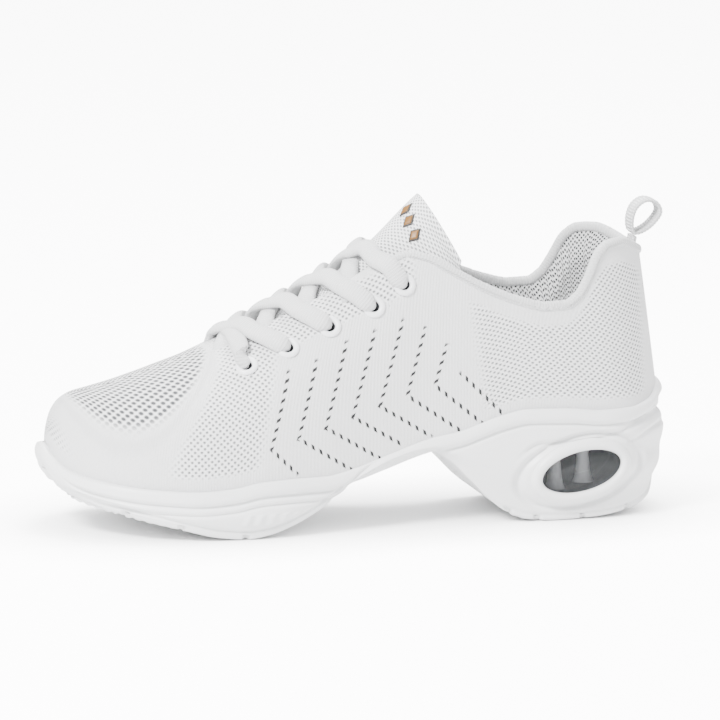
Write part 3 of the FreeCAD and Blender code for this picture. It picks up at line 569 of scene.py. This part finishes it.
def make_upper():
    halves = []
    rings = eyelets()
    for side in (-1, 1):
        grid, uv = upper_side(side)
        mid = (grid[:-1, :-1] + grid[1:, 1:]) / 2
        keep = np.ones(mid.shape[:2], bool)
        for point, normal, _ in rings:
            gap = mid - np.array(point)
            gap -= (gap @ np.array(normal))[..., None] * np.array(normal)
            beside = np.linalg.norm(mid - np.array(point), axis=2) < 8
            keep &= ~((np.linalg.norm(gap, axis=2) < 3.2) & beside)
        zones = upper_zones(grid[..., 0], grid[..., 1], grid[..., 2])
        across, along, on = slot_fields(grid[..., 0] + 1.2, grid[..., 2])
        zones.update(slot_across=across, slot_along=along, slot_on=on)
        halves.append(grid_object(f"upper_{side}", grid, uv=uv, keep=keep, attributes=zones, flip=side > 0))
    upper = clean(join("upper_knit", halves))
    solidify(upper, 1.3)
    return dress(upper, KNIT)


def topline_path(depth=0.0, lift=0.0, count=420):
    """The collar's edge from the outer front corner round the heel to the inner one."""
    sides = []
    for side in (-1, 1):
        grid, _ = upper_side(side, depth, 300, 60, 6.0)
        edge = grid[:, -1]
        real = edge[:, 0] > 9.0
        sides.append(edge[real])
    path = np.vstack([sides[0], sides[1][::-1]])
    path, _ = resample(path, count)
    path[:, 2] += lift
    return path


def make_binding():
    path = topline_path(0.9, -0.3)
    ups = np.repeat([[0.0, 0.0, 1.0]], len(path), 0)
    roll = sweep("collar_roll", path, ups, oval_profile(4.0, 4.2, 16, 2.2))
    return dress(roll, BINDING)


def make_lining():
    """The padded collar's inner face, from the binding down to the insole."""
    sides = []
    for side in (-1, 1):
        outer, uv = upper_side(side, 0.0, 200, 90, 9.0)
        deep, _ = upper_side(side, 1.0, 200, 90, 9.0)
        inward = deep - outer
        inward /= np.maximum(np.linalg.norm(inward, axis=2), 0.3)[..., None]
        below = outer[:, -1:, 2] - outer[..., 2]
        pad = 2.0 + 5.5 * smooth(0, 14, below) * smooth(22, 45, outer[..., 0])
        sides.append(grid_object(f"lining_{side}", outer + inward * pad[..., None], uv=uv, flip=side < 0))
    lining = clean(join("collar_lining_pad", sides), 0.0004)
    return dress(lining, LINING)


# ---- eyelets and lace ----------------------------------------------------------------------------
def make_eyelets():
    names = [f"eyelet_{word}_{k}" for word in ("lateral", "medial") for k in range(1, 6)]
    # The barrel is closed at its foot and its inner faces take the near-black material: painted shade
    # inside the hole.
    profile = [(0.05, -1.3), (2.1, -1.3), (2.15, -0.2), (2.5, 0.55), (3.2, 0.95), (4.0, 0.8),
               (4.65, 0.3), (4.7, -0.2), (4.4, -0.3), (3.2, -0.3), (2.75, -3.0)]
    for name, (point, normal, _) in zip(names, eyelets()):
        turn = normal.to_track_quat("Z", "Y")
        a = np.linspace(0, 2 * math.pi, 48, endpoint=False)
        rows = []
        for r, h in profile:
            circle = [Vector((r * math.cos(t), r * math.sin(t), h + 0.25)) for t in a]
            rows.append([tuple(point + turn @ corner) for corner in circle])
        ring = clean(grid_object("ring_" + name, np.array(rows), closed_u=True, closed_v=True), 0.000001)
        dress(ring, EYELET).data.materials.append(PAINTED_SHADE)
        for face in ring.data.polygons:
            out = face.center * 1000 - point
            if out.dot(normal) < -0.2 and (out - normal * out.dot(normal)).length < 2.14:
                face.material_index = 1
        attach(ring, "shoe")
        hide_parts(name)


TONGUE_LINE = [(-66, 70.5), (-56, 74.8), (-50, 77.4), (-41, 81.2), (-23, 91.0), (-10, 99.0), (1.3, 108.5),
               (8.0, 115.0), (13.5, 120.4), (18.5, 125.4), (23.5, 130.2), (27.5, 133.6)]


def tongue_mid(x):
    """Height of the tongue's face along its middle line."""
    return float(np.interp(x, *zip(*TONGUE_LINE)))


def make_lace():
    rows = len(EYELET_X)
    strands = []

    def place(row, side):
        x = EYELET_X[row]
        y = float(centre(x)) + side * EYELET_SPAN[row]
        return surface_point(x, y), surface_normal(x, y)

    def strand(name, row, side, over):
        """From under the eyestay at this row, over the tongue, to the opposite side's next eyelet."""
        point, normal = place(row, side)
        target, target_n = place(row + 1, -side)
        gap = target.x - point.x
        lift = 4.9 if over else 1.9

        def along(y):
            return target.x - (gap + LACE_REACH) * (abs(y + side * EYELET_SPAN[row + 1]) / 40.0) ** 0.66

        def on_side(y, out):
            x = along(y)
            p = surface_point(x, float(centre(x)) + y)
            return p + surface_normal(p.x, p.y) * out

        def bridge(y, drop):
            x = along(y)
            c = float(centre(x))
            return Vector((x, c + y, max(tongue_mid(x), float(surface_point(x, c).z) - 1.0) + lift - drop))

        edge = on_side(side * (throat_edge(point.x) + 2.5), -1.6)
        under = edge + Vector((0, side * 6, -4.0))
        hole = target + Vector((-1.3, side * 0.6, 0))
        points = [under, edge, bridge(side * 7.5, 1.4), bridge(-side * 0.5, 0.0), bridge(-side * 8.6, 0.2),
                  on_side(-side * 16.0, 2.9), on_side(-side * 22.4, 2.4), hole + target_n * 1.3,
                  hole - target_n * 3.2]
        far_n = surface_normal(point.x + gap * 0.7, float(centre(target.x)) - side * 15.0)
        middle = Vector((-0.45, 0, 0.9))
        normals = [normal, normal, middle, middle, middle, far_n, target_n,
                   target_n + Vector((0, -side * 0.6, 0)), Vector((0, -side, 0)) + target_n * 0.3]
        return make_strand(name, points, normals)

    def make_strand(name, points, normals):
        path, _ = catmull(points, 110)
        ups, _ = catmull(normals, 110)
        ups /= np.linalg.norm(ups, axis=1)[:, None]
        t = np.linspace(0, 1, 110)
        shape = np.repeat(oval_profile(LACE_WIDTH, LACE_THICK, 24, 2.3)[None], 110, 0)
        narrow = 1 - 0.62 * smooth(0.89, 0.97, t)
        shape[..., 0] *= narrow[:, None]
        shape[..., 1] *= (0.5 + 0.5 * narrow)[:, None]
        return sweep(name, path, ups, shape)

    for row in range(rows - 1):
        for side in (1, -1):
            strands.append(strand(f"strand_{row}_{side}", row, side, side > 0))
    a, an = place(0, -1)
    b, bn = place(0, 1)
    x = EYELET_X[0] - 0.5
    points = [a - an * 2.8 + Vector((-0.8, 0.6, 0)), a + an * 1.2 + Vector((-0.8, 0.8, 0))]
    normals = [Vector((0, 1, 0)), an]
    for y in (-18, -9, 0, 9, 16):
        p = surface_point(x, float(centre(x)) + y)
        points.append(p + surface_normal(p.x, p.y) * 2.4)
        normals.append(surface_normal(p.x, p.y))
    points += [b + bn * 1.2, b - bn * 2.8]
    normals += [bn, Vector((0, -1, 0))]
    path, _ = catmull(points, 130)
    ups, _ = catmull(normals, 130)
    ups /= np.linalg.norm(ups, axis=1)[:, None]
    t = np.linspace(0, 1, 130)
    shape = np.repeat(oval_profile(7.6, 3.4, 24, 2.3)[None], 130, 0)
    shape *= (1 - 0.58 * smooth(0.10, 0.03, t) - 0.58 * smooth(0.90, 0.97, t))[:, None, None]
    strands.append(sweep("strand_bar", path, ups, shape))
    lace = dress(join("lace_tape", strands), LACE)
    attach(lace, "shoe")
    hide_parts("shoelace")


# ---- tongue --------------------------------------------------------------------------------------
def make_tongue():
    """One padded sheet from its sewn end to its free top; it folds above the top eyelets."""
    path, run = catmull([(x, 0, z) for x, z in TONGUE_LINE], 150)
    tangent = np.gradient(path, axis=0)
    tangent /= np.linalg.norm(tangent, axis=1)[:, None]
    down = np.stack([tangent[:, 2], np.zeros(len(path)), -tangent[:, 0]], 1)
    share = run / run[-1]
    half = 14 + 9 * smooth(0, 0.3, share)
    tip = np.clip((share - 0.86) / 0.14, 0, 1)
    cols = 121
    s = np.linspace(-1, 1, cols)
    grid = np.zeros((len(path), cols, 3))
    for i, (p, d) in enumerate(zip(path, down)):
        c = float(centre(p[0]))
        back = 6.5 * smooth(0.62, 1.0, share[i]) * np.abs(s) ** 1.7
        free = float(smooth(0.66, 0.86, share[i]))
        y = half[i] * s
        target = np.array([surface_point(min(p[0], 16), c + v, 4.9).z for v in y])
        laced = smooth(4, 12, np.abs(y)) * np.clip((p[2] - target) / max(0.4, -d[2]) * 0.75, 0, 40)
        angle = math.radians(84) * s * (1 - 0.16 * tip[i] ** 2)
        wing_y, wing = 24.5 * np.sin(angle), 36.0 * (1 - np.cos(angle))
        fall = laced * (1 - free) + (wing + 2.5 * tip[i] * np.abs(s) ** 2) * free
        grid[i] = p + d * fall[:, None] - tangent[i] * back[:, None]
        grid[i, :, 1] = c + y * (1 - free) + wing_y * free
    uv = np.stack(np.meshgrid(run, s * 24, indexing="ij"), -1)
    edge = np.minimum(1 - np.abs(s)[None] * np.ones((len(path), 1)), (1 - share)[:, None] * 4)
    thick = 0.7 + 1.5 * smooth(0.0, 0.14, edge) - 0.5 * smooth(0.02, 0.0, np.abs(edge - 0.10))
    normal = np.cross(np.gradient(grid, axis=0), np.gradient(grid, axis=1))
    normal /= np.linalg.norm(normal, axis=2)[..., None] + 1e-9
    normal *= np.sign(normal[..., 2:3] + 1e-9) if normal[60, 40, 2] else 1
    top, bottom = grid + normal * 0.4, grid - normal * (thick[..., None] * 2)
    shell = np.concatenate([top, bottom[:, ::-1]], 1)
    shell_uv = np.concatenate([uv, uv[:, ::-1]], 1)
    tongue = grid_object("tongue_pad", shell, closed_v=True, uv=shell_uv)
    work = bmesh.new()
    work.from_mesh(tongue.data)
    bmesh.ops.holes_fill(work, edges=[e for e in work.edges if e.is_boundary])
    bmesh.ops.recalc_face_normals(work, faces=work.faces)
    work.to_mesh(tongue.data)
    work.free()
    dress(tongue, TONGUE)
    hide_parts("tongue_face", "tongue_foam", "tongue_lining", "tongue_flap_face", "tongue_flap_foam",
                "tongue_flap_lining")
    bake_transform(tongue)
    return grid


def make_motif(grid):
    """A row of three small gold diamonds, each on a larger near-black diamond that is painted shadow round
    it, in place of the maker's embroidery.
    """
    for k, (material, size, lift) in enumerate(((SHADOW_THREAD, 1.0, 0.55), (GOLD, 0.72, 0.9))):
        parts = []
        for i, j in ((138, 54), (135, 44), (132, 34)):
            p = grid[i, j]
            along = grid[i + 3, j] - grid[i - 3, j]
            across = grid[i, j + 3] - grid[i, j - 3]
            along, across = along / np.linalg.norm(along), across / np.linalg.norm(across)
            up = np.cross(along, across)
            up *= np.sign(up[2])
            rows = []
            t = np.linspace(0, 2 * math.pi, 33)[:-1, None]
            reach = size / (abs(np.sin(t)) + abs(np.cos(t)))
            outline = (along * np.sin(t) * 3.9 + across * np.cos(t) * 2.8) * reach
            for r, h in ((1.0, 0.0), (0.96, 0.35), (0.6, 0.55), (0.02, 0.6)):
                rows.append(p + up * (lift + h * 0.8) + outline * r)
            uv = np.zeros((4, 32, 2))
            uv[..., 0] = np.linspace(0, 6, 32)
            parts.append(grid_object(f"stone_{k}_{j}", np.array(rows), closed_v=True, uv=uv))
        stone = dress(join(f"tongue_stones_{k}", parts), material)
        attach(stone, "tongue_flap")
    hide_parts(*[f"tongue_stone_{k}" for k in range(1, 4)])


# ---- sole ----------------------------------------------------------------------------------------
def ellipse_distance(x, z, long_half, high_half):
    """Rough distance in millimetres from the window's oval, negative inside it."""
    wx, wz, _, _, tilt = WINDOW
    u = (x - wx) * math.cos(tilt) + (z - wz) * math.sin(tilt)
    v = -(x - wx) * math.sin(tilt) + (z - wz) * math.cos(tilt)
    level = np.hypot(u / long_half, v / high_half)
    return (level - 1) * np.minimum(long_half, high_half) * (0.6 + 0.4 * level)


def groove(distance, width, depth):
    """A rounded groove along the line where distance is zero."""
    return -1.5 * depth * np.exp(-(distance / width) ** 2)


def sole_relief(x, z):
    """How far the sole's side stands out from its plain wall."""
    top, low = rim(x), underside(x)
    drop = top - z
    out = groove(drop - 6.2, 0.9, 0.9) * smooth(-128, -120, x)
    forefoot = smooth(30, -6, x) * smooth(-126, -112, x)
    out += groove(drop - 9.8, 0.8, 0.8) * forefoot
    out += groove(z - low - 3.6, 0.8, 0.7) * smooth(24, 6, x) * smooth(-128, -118, x)
    heel = smooth(40, 52, x)
    sweep_line = 33.0 + 8.5 * smooth(84, 128, x) ** 1.4 - 12 * smooth(72, 50, x)
    out += groove(z - sweep_line, 1.0, 0.9) * heel * smooth(58, 70, x)
    out += groove(z - sweep_line + 7.5 - 2.5 * smooth(100, 125, x), 0.9, 0.5) * smooth(106, 114, x)
    out += groove(ellipse_distance(x, z, 27.5, 14.6), 1.0, 1.1) * heel
    out += 1.1 * smooth(0, -4, ellipse_distance(x, z, 27.5, 14.6)) * heel * smooth(0, 3.0, z - low)
    out += groove(z - low - 2.6, 0.6, 0.4) * smooth(56, 62, x)
    for notch in (-105, -83, -56, 58, 70, 90, 111):
        out -= 2.2 * smooth(1.6, 0.9, np.abs(x - notch)) * smooth(2.6, 1.6, z - low)
    for k in range(5):
        bar = np.maximum(np.abs(x + 56 - 5.2 * k - (z - 8) * 0.35) - 1.1, np.abs(z - 8.6) - 2.3)
        out += 0.55 * smooth(0.5, -0.4, bar)
    return out


def make_sole():
    count, wall = 360, 96
    xs = stations(TOE_X + 0.02, HEEL_X - 0.02, count)
    sections = []
    for x in xs:
        at, wide, _ = (float(v) for v in inset(x, -RIM_WALL))
        c, top = float(centre(x)), float(rim(x))
        low = min(float(underside(at)), top - 1.0)
        z = np.linspace(top - 0.5, low + 1.0, wall)
        share = (top - z) / max(top - low, 1e-6)
        tuck = 3.2 * smooth(0.45, 1.0, share) ** 1.5
        bulge = 1.5 * np.sin(math.pi * np.clip((top - z) / 6.2, 0, 1))
        heel_bulge = 0.5 * float(smooth(96, 118, at))
        wave = heel_bulge * np.cos((z - 35) / 7.5 * math.pi)
        y = wide - tuck + bulge * 0.6 + wave + sole_relief(np.full(wall, at), z)
        y = np.maximum(y, 0.25 * wide)
        half_line = np.concatenate([
            [[max(wide - RIM_WALL - 0.3, 0), top - 6.0], [max(wide - RIM_WALL - 0.2, 0), top - 0.8],
             [wide - RIM_WALL * 0.75, top - 0.05], [wide - RIM_WALL * 0.3, top]],
            np.stack([y, z], 1),
            [[max(y[-1] - 0.5, 0), low + 0.35], [max(y[-1] - 1.5, 0), low]],
            np.stack([np.linspace(max(y[-1] - 2.5, 0), 0, 18), np.full(18, low)], 1)])
        slope = (at - x) / max(RIM_WALL, 1e-6)
        extra = half_line[:, 0] - wide
        px = np.full(len(half_line), at) + slope * np.clip(extra, -6, 6)
        lean_back = float(lean(x)) * np.clip(half_line[:, 1] - 30, 0, None)
        px = np.where(np.arange(len(half_line)) < 4, x + slope * (half_line[:, 0] - (wide - RIM_WALL)), px)
        px = px - lean_back
        outer = np.stack([px, c - half_line[:, 0], half_line[:, 1]], 1)
        inner = np.stack([px, c + half_line[:, 0], half_line[:, 1]], 1)[::-1]
        sections.append(np.vstack([outer, inner[1:]]))
    for place in (0, -1):
        end = sections[place].copy()
        end[:, 1] = float(centre(xs[place]))
        sections.insert(0 if place == 0 else len(sections), end)
    grid = np.array(sections)
    mid = (grid[:-1, :-1] + grid[1:, 1:]) / 2
    wall_part = np.zeros(mid.shape[:2], bool)
    wall_part[:, 4:4 + wall] = True
    wall_part[:, -4 - wall:-4] = True
    keep = ~((ellipse_distance(mid[..., 0], mid[..., 2], WINDOW[2] + 1.0, WINDOW[3] + 1.0) < 0) & wall_part)
    sole = clean(grid_object("sole_moulding", grid, keep=keep), 0.00001)
    dress(sole, SOLE)
    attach(sole, "shoe")
    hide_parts("sole_unit")


def wall_half(x):
    return float(inset(x, -RIM_WALL)[1])


def window_frame(side, grow, out):
    """Points on an oval round the window at a distance out from the sole's side wall."""
    wx, wz, a, b, tilt = WINDOW
    t = np.linspace(0, 2 * math.pi, 160, endpoint=False)
    u, v = (a + grow) * np.cos(t), (b + grow) * np.sin(t)
    x = wx + u * math.cos(tilt) - v * math.sin(tilt)
    z = wz + u * math.sin(tilt) + v * math.cos(tilt)
    y = np.array([float(centre(q)) + side * (wall_half(q) + out) for q in x])
    low, top = underside(x), rim(x)
    share = (top - z) / (top - low)
    y -= side * 3.2 * smooth(0.45, 1.0, share) ** 1.5
    return np.stack([x, y, z], 1)


def make_window(side, word):
    section = ((5.0, 0.5), (4.6, 1.7), (3.6, 2.6), (2.4, 2.9), (1.2, 2.5), (0.3, 1.5), (0.0, 0.2),
               (0.5, -1.8))
    bezel_rows = [window_frame(side, g, o) for g, o in section]
    bezel = grid_object(f"window_bezel_{word}", np.array(bezel_rows), closed_v=True)
    dress(clean(bezel), SOLE)
    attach(bezel, "shoe")
    rows = [window_frame(side, g, o) for g, o in
            ((0.2, -0.6), (-1.8, -0.1), (-4.0, 0.3), (-6.2, 0.5), (-7.6, 0.6), (-8.3, 0.6))]
    pane = dress(clean(grid_object(f"window_pane_{word}", np.array(rows), closed_v=True)), CLEAR)
    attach(pane, "shoe")
    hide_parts(f"window_{word}")


def make_cushion():
    """The bladder's inside wall, painted near-black for the shade inside it, open towards both windows, and
    its waisted posts.
    """
    wx, wz, a, b, tilt = WINDOW
    halves = []
    for side in (-1, 1):
        rows = [window_frame(side, 0.4, -1.5), window_frame(side, 0.8, -5.0)]
        for y, grow in ((24, 0.8), (12, 1.0), (3, 0.6), (0.6, -3), (0.1, -8.3)):
            t = np.linspace(0, 2 * math.pi, 160, endpoint=False)
            u, v = (a + grow) * np.cos(t), (b + grow) * np.sin(t)
            rows.append(np.stack([wx + u * math.cos(tilt) - v * math.sin(tilt), np.full(160, side * y),
                                  wz + u * math.sin(tilt) + v * math.cos(tilt)], 1))
        halves.append(grid_object(f"half_{side}", np.array(rows), closed_v=True))
    shell = join("cushion_shell", halves)
    # The shell's near-black is painted shade inside the bladder.
    dress(shell, PAINTED_SHADE)
    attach(shell, "shoe")
    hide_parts("air_cushion")
    posts = []
    for side in (-1, 1):
        for along in (-7.5, 4.5):
            x, y = wx + along, side * 19.5
            tilt_z = along * math.tan(tilt)
            rows = []
            for h in np.linspace(-1, 1, 15):
                r = 3.4 - 1.3 * (h + 1) / 2 + 1.1 * abs(h) ** 4
                t = np.linspace(0, 2 * math.pi, 40, endpoint=False)
                level = np.full(40, wz + tilt_z + h * 8.0)
                rows.append(np.stack([x + r * np.cos(t), y + r * np.sin(t), level], 1))
            posts.append(grid_object(f"post_{side}_{along}", np.array(rows), closed_v=True))
    pillars = dress(join("cushion_posts", posts), PILLAR)
    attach(pillars, "shoe")
    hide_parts(*[f"air_pillar_{k}" for k in range(1, 7)])


def make_tread(name, first, last, grooves):
    """A rubber pad under the sole with grooves across it and a fine herringbone."""
    xs = np.linspace(first, last, int((last - first) / 0.7))
    cols = 120
    rows = []
    for x in xs:
        wide = wall_half(x) - 4.2
        c = float(centre(x))
        s = np.linspace(-1, 1, cols)
        y = c + wide * s
        z = np.full(cols, float(underside(x)) - 0.25)
        cut = max(float(smooth(1.5, 0.7, abs(x - g))) for g in grooves)
        herringbone = np.abs(((x + np.abs(y - c) * 0.6) / 5.0) % 1 - 0.5)
        ridge = 0.55 * smooth(0.15, 0.4, herringbone) if cut < 0.5 else 0
        z = z + cut * 1.5 + ridge
        z = z + 1.2 * smooth(0.94, 1.0, np.abs(s))
        rows.append(np.stack([np.full(cols, x), y, np.maximum(z, 0.0)], 1))
    pad = solidify(grid_object("tread_" + name, np.array(rows), flip=True), 1.0)
    dress(pad, TREAD)
    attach(pad, "shoe")
    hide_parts("outsole_" + name)


# ---- heel tab ------------------------------------------------------------------------------------
def make_tab():
    foot = Vector((119.0, 0, 113.2))
    shape = [(0.0, 0.0), (-0.12, 0.36), (0.02, 0.78), (0.38, 1.0), (0.76, 0.9), (0.88, 0.58), (0.52, 0.17)]
    points = [Vector((foot.x + a * 13.3, 0, foot.z + 0.4 + b * 14.6)) for a, b in shape]
    path, _ = catmull(points, 160, closed=True)
    path = path[:-1]
    middle = path.mean(0)
    ups = path - middle
    ups /= np.linalg.norm(ups, axis=1)[:, None]
    path = path - ups * 0.6
    rib = 1 + 0.16 * np.cos(np.arange(len(path)) / len(path) * 2 * math.pi * 30)
    profile = np.repeat(oval_profile(10.6, 1.5, 24, 5)[None], len(path), 0)
    profile[..., 1] *= rib[:, None]
    loop = dress(clean(sweep("heel_loop", path, ups, profile, closed=True, caps=False)), WEBBING)
    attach(loop, "pull_loop")
    stem = [(119.2, 0, 112.7), (119.0, 0, 111.4), (118.3, 0, 108.0), (118.0, 0, 104.0)]
    path, _ = catmull(stem, 30)
    ups = np.repeat([[1.0, 0.0, 0.25]], 30, 0)
    root = dress(sweep("heel_loop_root", path, ups, oval_profile(10.4, 1.8, 24, 5)), WEBBING)
    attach(root, "shoe")
    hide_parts("pull_tab")


# ---- assemble ------------------------------------------------------------------------------------
upper = make_upper()
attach(upper, "shoe")
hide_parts("knit_upper")
binding = make_binding()
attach(binding, "shoe")
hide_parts("collar_binding")
lining = make_lining()
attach(lining, "shoe")
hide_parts("collar_lining", "collar_foam", "vamp_lining")
make_eyelets()
make_lace()
make_motif(make_tongue())
make_sole()
for side, word in ((-1, "lateral"), (1, "medial")):
    make_window(side, word)
make_cushion()
make_tread("forefoot", -121, -36, (-105, -83, -55))
make_tread("heel", 59, 119, (80, 101))
make_tab()

CAD_FINISHES = {"insole": LINING, "insole_cover": INSOLE, "strobel_board": INSOLE, "arch_shank": TIP,
                "toe_puff": TIP, "eyestay_lateral": TIP, "eyestay_medial": TIP, "heel_counter": TIP,
                "aglet_lateral": TIP, "aglet_medial": TIP, "pull_tab_anchor": WEBBING}
for name, material in CAD_FINISHES.items():
    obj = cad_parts[name]
    obj = bpy.data.objects[obj] if isinstance(obj, str) else obj
    for slot in obj.material_slots:
        slot.material = material

# ---- floor, light and camera ---------------------------------------------------------------------
floor = bpy.data.objects.new("studio_floor", bpy.data.meshes.new("studio_floor"))
floor.data.from_pydata([(-4, -4, 0), (4, -4, 0), (4, 4, 0), (-4, 4, 0)], [], [(0, 1, 2, 3)])
bpy.context.collection.objects.link(floor)
paper = plastic_material("floor_paper", (0.93, 0.93, 0.93), 0.9, 200, 0.00001, 0.005)
tree = paper.node_tree
seen = tree.nodes.new("ShaderNodeLightPath")
# Ambient occlusion cuts the floor's glow near the shoe: a painted contact shadow.
near = tree.nodes.new("ShaderNodeAmbientOcclusion")
near.inputs["Distance"].default_value = 0.06
near.samples = 8
glow_with_painted_shadow, power = tree.nodes.new("ShaderNodeMath"), tree.nodes.new("ShaderNodeMath")
glow_with_painted_shadow.operation, power.operation = "POWER", "MULTIPLY"
glow_with_painted_shadow.inputs[1].default_value = 2.0
strength = tree.nodes.new("ShaderNodeMath")
strength.operation = "MULTIPLY"
strength.inputs[1].default_value = 8.0
tree.links.new(near.outputs["AO"], glow_with_painted_shadow.inputs[0])
tree.links.new(glow_with_painted_shadow.outputs[0], power.inputs[0])
tree.links.new(seen.outputs["Is Camera Ray"], power.inputs[1])
tree.links.new(power.outputs[0], strength.inputs[0])
for node in tree.nodes:
    if node.type == "BSDF_PRINCIPLED":
        node.inputs["Emission Color"].default_value = (1, 1, 1, 1)
        tree.links.new(strength.outputs[0], node.inputs["Emission Strength"])
dress(floor, paper)

world = bpy.data.worlds.new("studio")
bpy.context.scene.world = world
world.use_nodes = True
world.node_tree.nodes["Background"].inputs[0].default_value = (1, 1, 1, 1)
world.node_tree.nodes["Background"].inputs[1].default_value = 1.25
tree = world.node_tree
seen = tree.nodes.new("ShaderNodeLightPath")
power = tree.nodes.new("ShaderNodeMath")
power.operation = "MULTIPLY_ADD"
power.inputs[1].default_value = 9.0
power.inputs[2].default_value = 1.25
tree.links.new(seen.outputs["Is Camera Ray"], power.inputs[0])
tree.links.new(power.outputs[0], tree.nodes["Background"].inputs[1])


def area_light(name, place, target, size, power):
    light = bpy.data.lights.new(name, "AREA")
    light.shape, light.size, light.energy = "DISK", size, power
    obj = bpy.data.objects.new(name, light)
    obj.location = place
    obj.rotation_euler = (Vector(target) - Vector(place)).to_track_quat("-Z", "Y").to_euler()
    bpy.context.collection.objects.link(obj)


area_light("key", (-0.9, -0.7, 1.1), (0, 0, 0.05), 0.45, 75)
area_light("top", (0.2, 0.5, 1.3), (0, 0, 0.05), 0.6, 34)
area_light("rim", (1.2, -0.2, 0.7), (0, 0, 0.05), 0.4, 9)

AZIMUTH, ELEVATION, DISTANCE = math.radians(-14), math.radians(10), 5.0
TARGET = Vector((0.0029, 0.0, 0.0650))
SENSOR, IMAGE_WIDTH, PIXEL_SIZE = 36, 720, 0.000413   # millimetres, pixels, metres at the target
camera = bpy.data.objects.new("camera", bpy.data.cameras.new("camera"))
bpy.context.collection.objects.link(camera)
bpy.context.scene.camera = camera
level = math.cos(ELEVATION)
heading = Vector((math.sin(AZIMUTH) * level, -math.cos(AZIMUTH) * level, math.sin(ELEVATION)))
camera.location = TARGET + heading * DISTANCE
camera.rotation_euler = (-heading).to_track_quat("-Z", "Y").to_euler()
camera.data.sensor_width = SENSOR
camera.data.lens = SENSOR * DISTANCE / (IMAGE_WIDTH * PIXEL_SIZE)
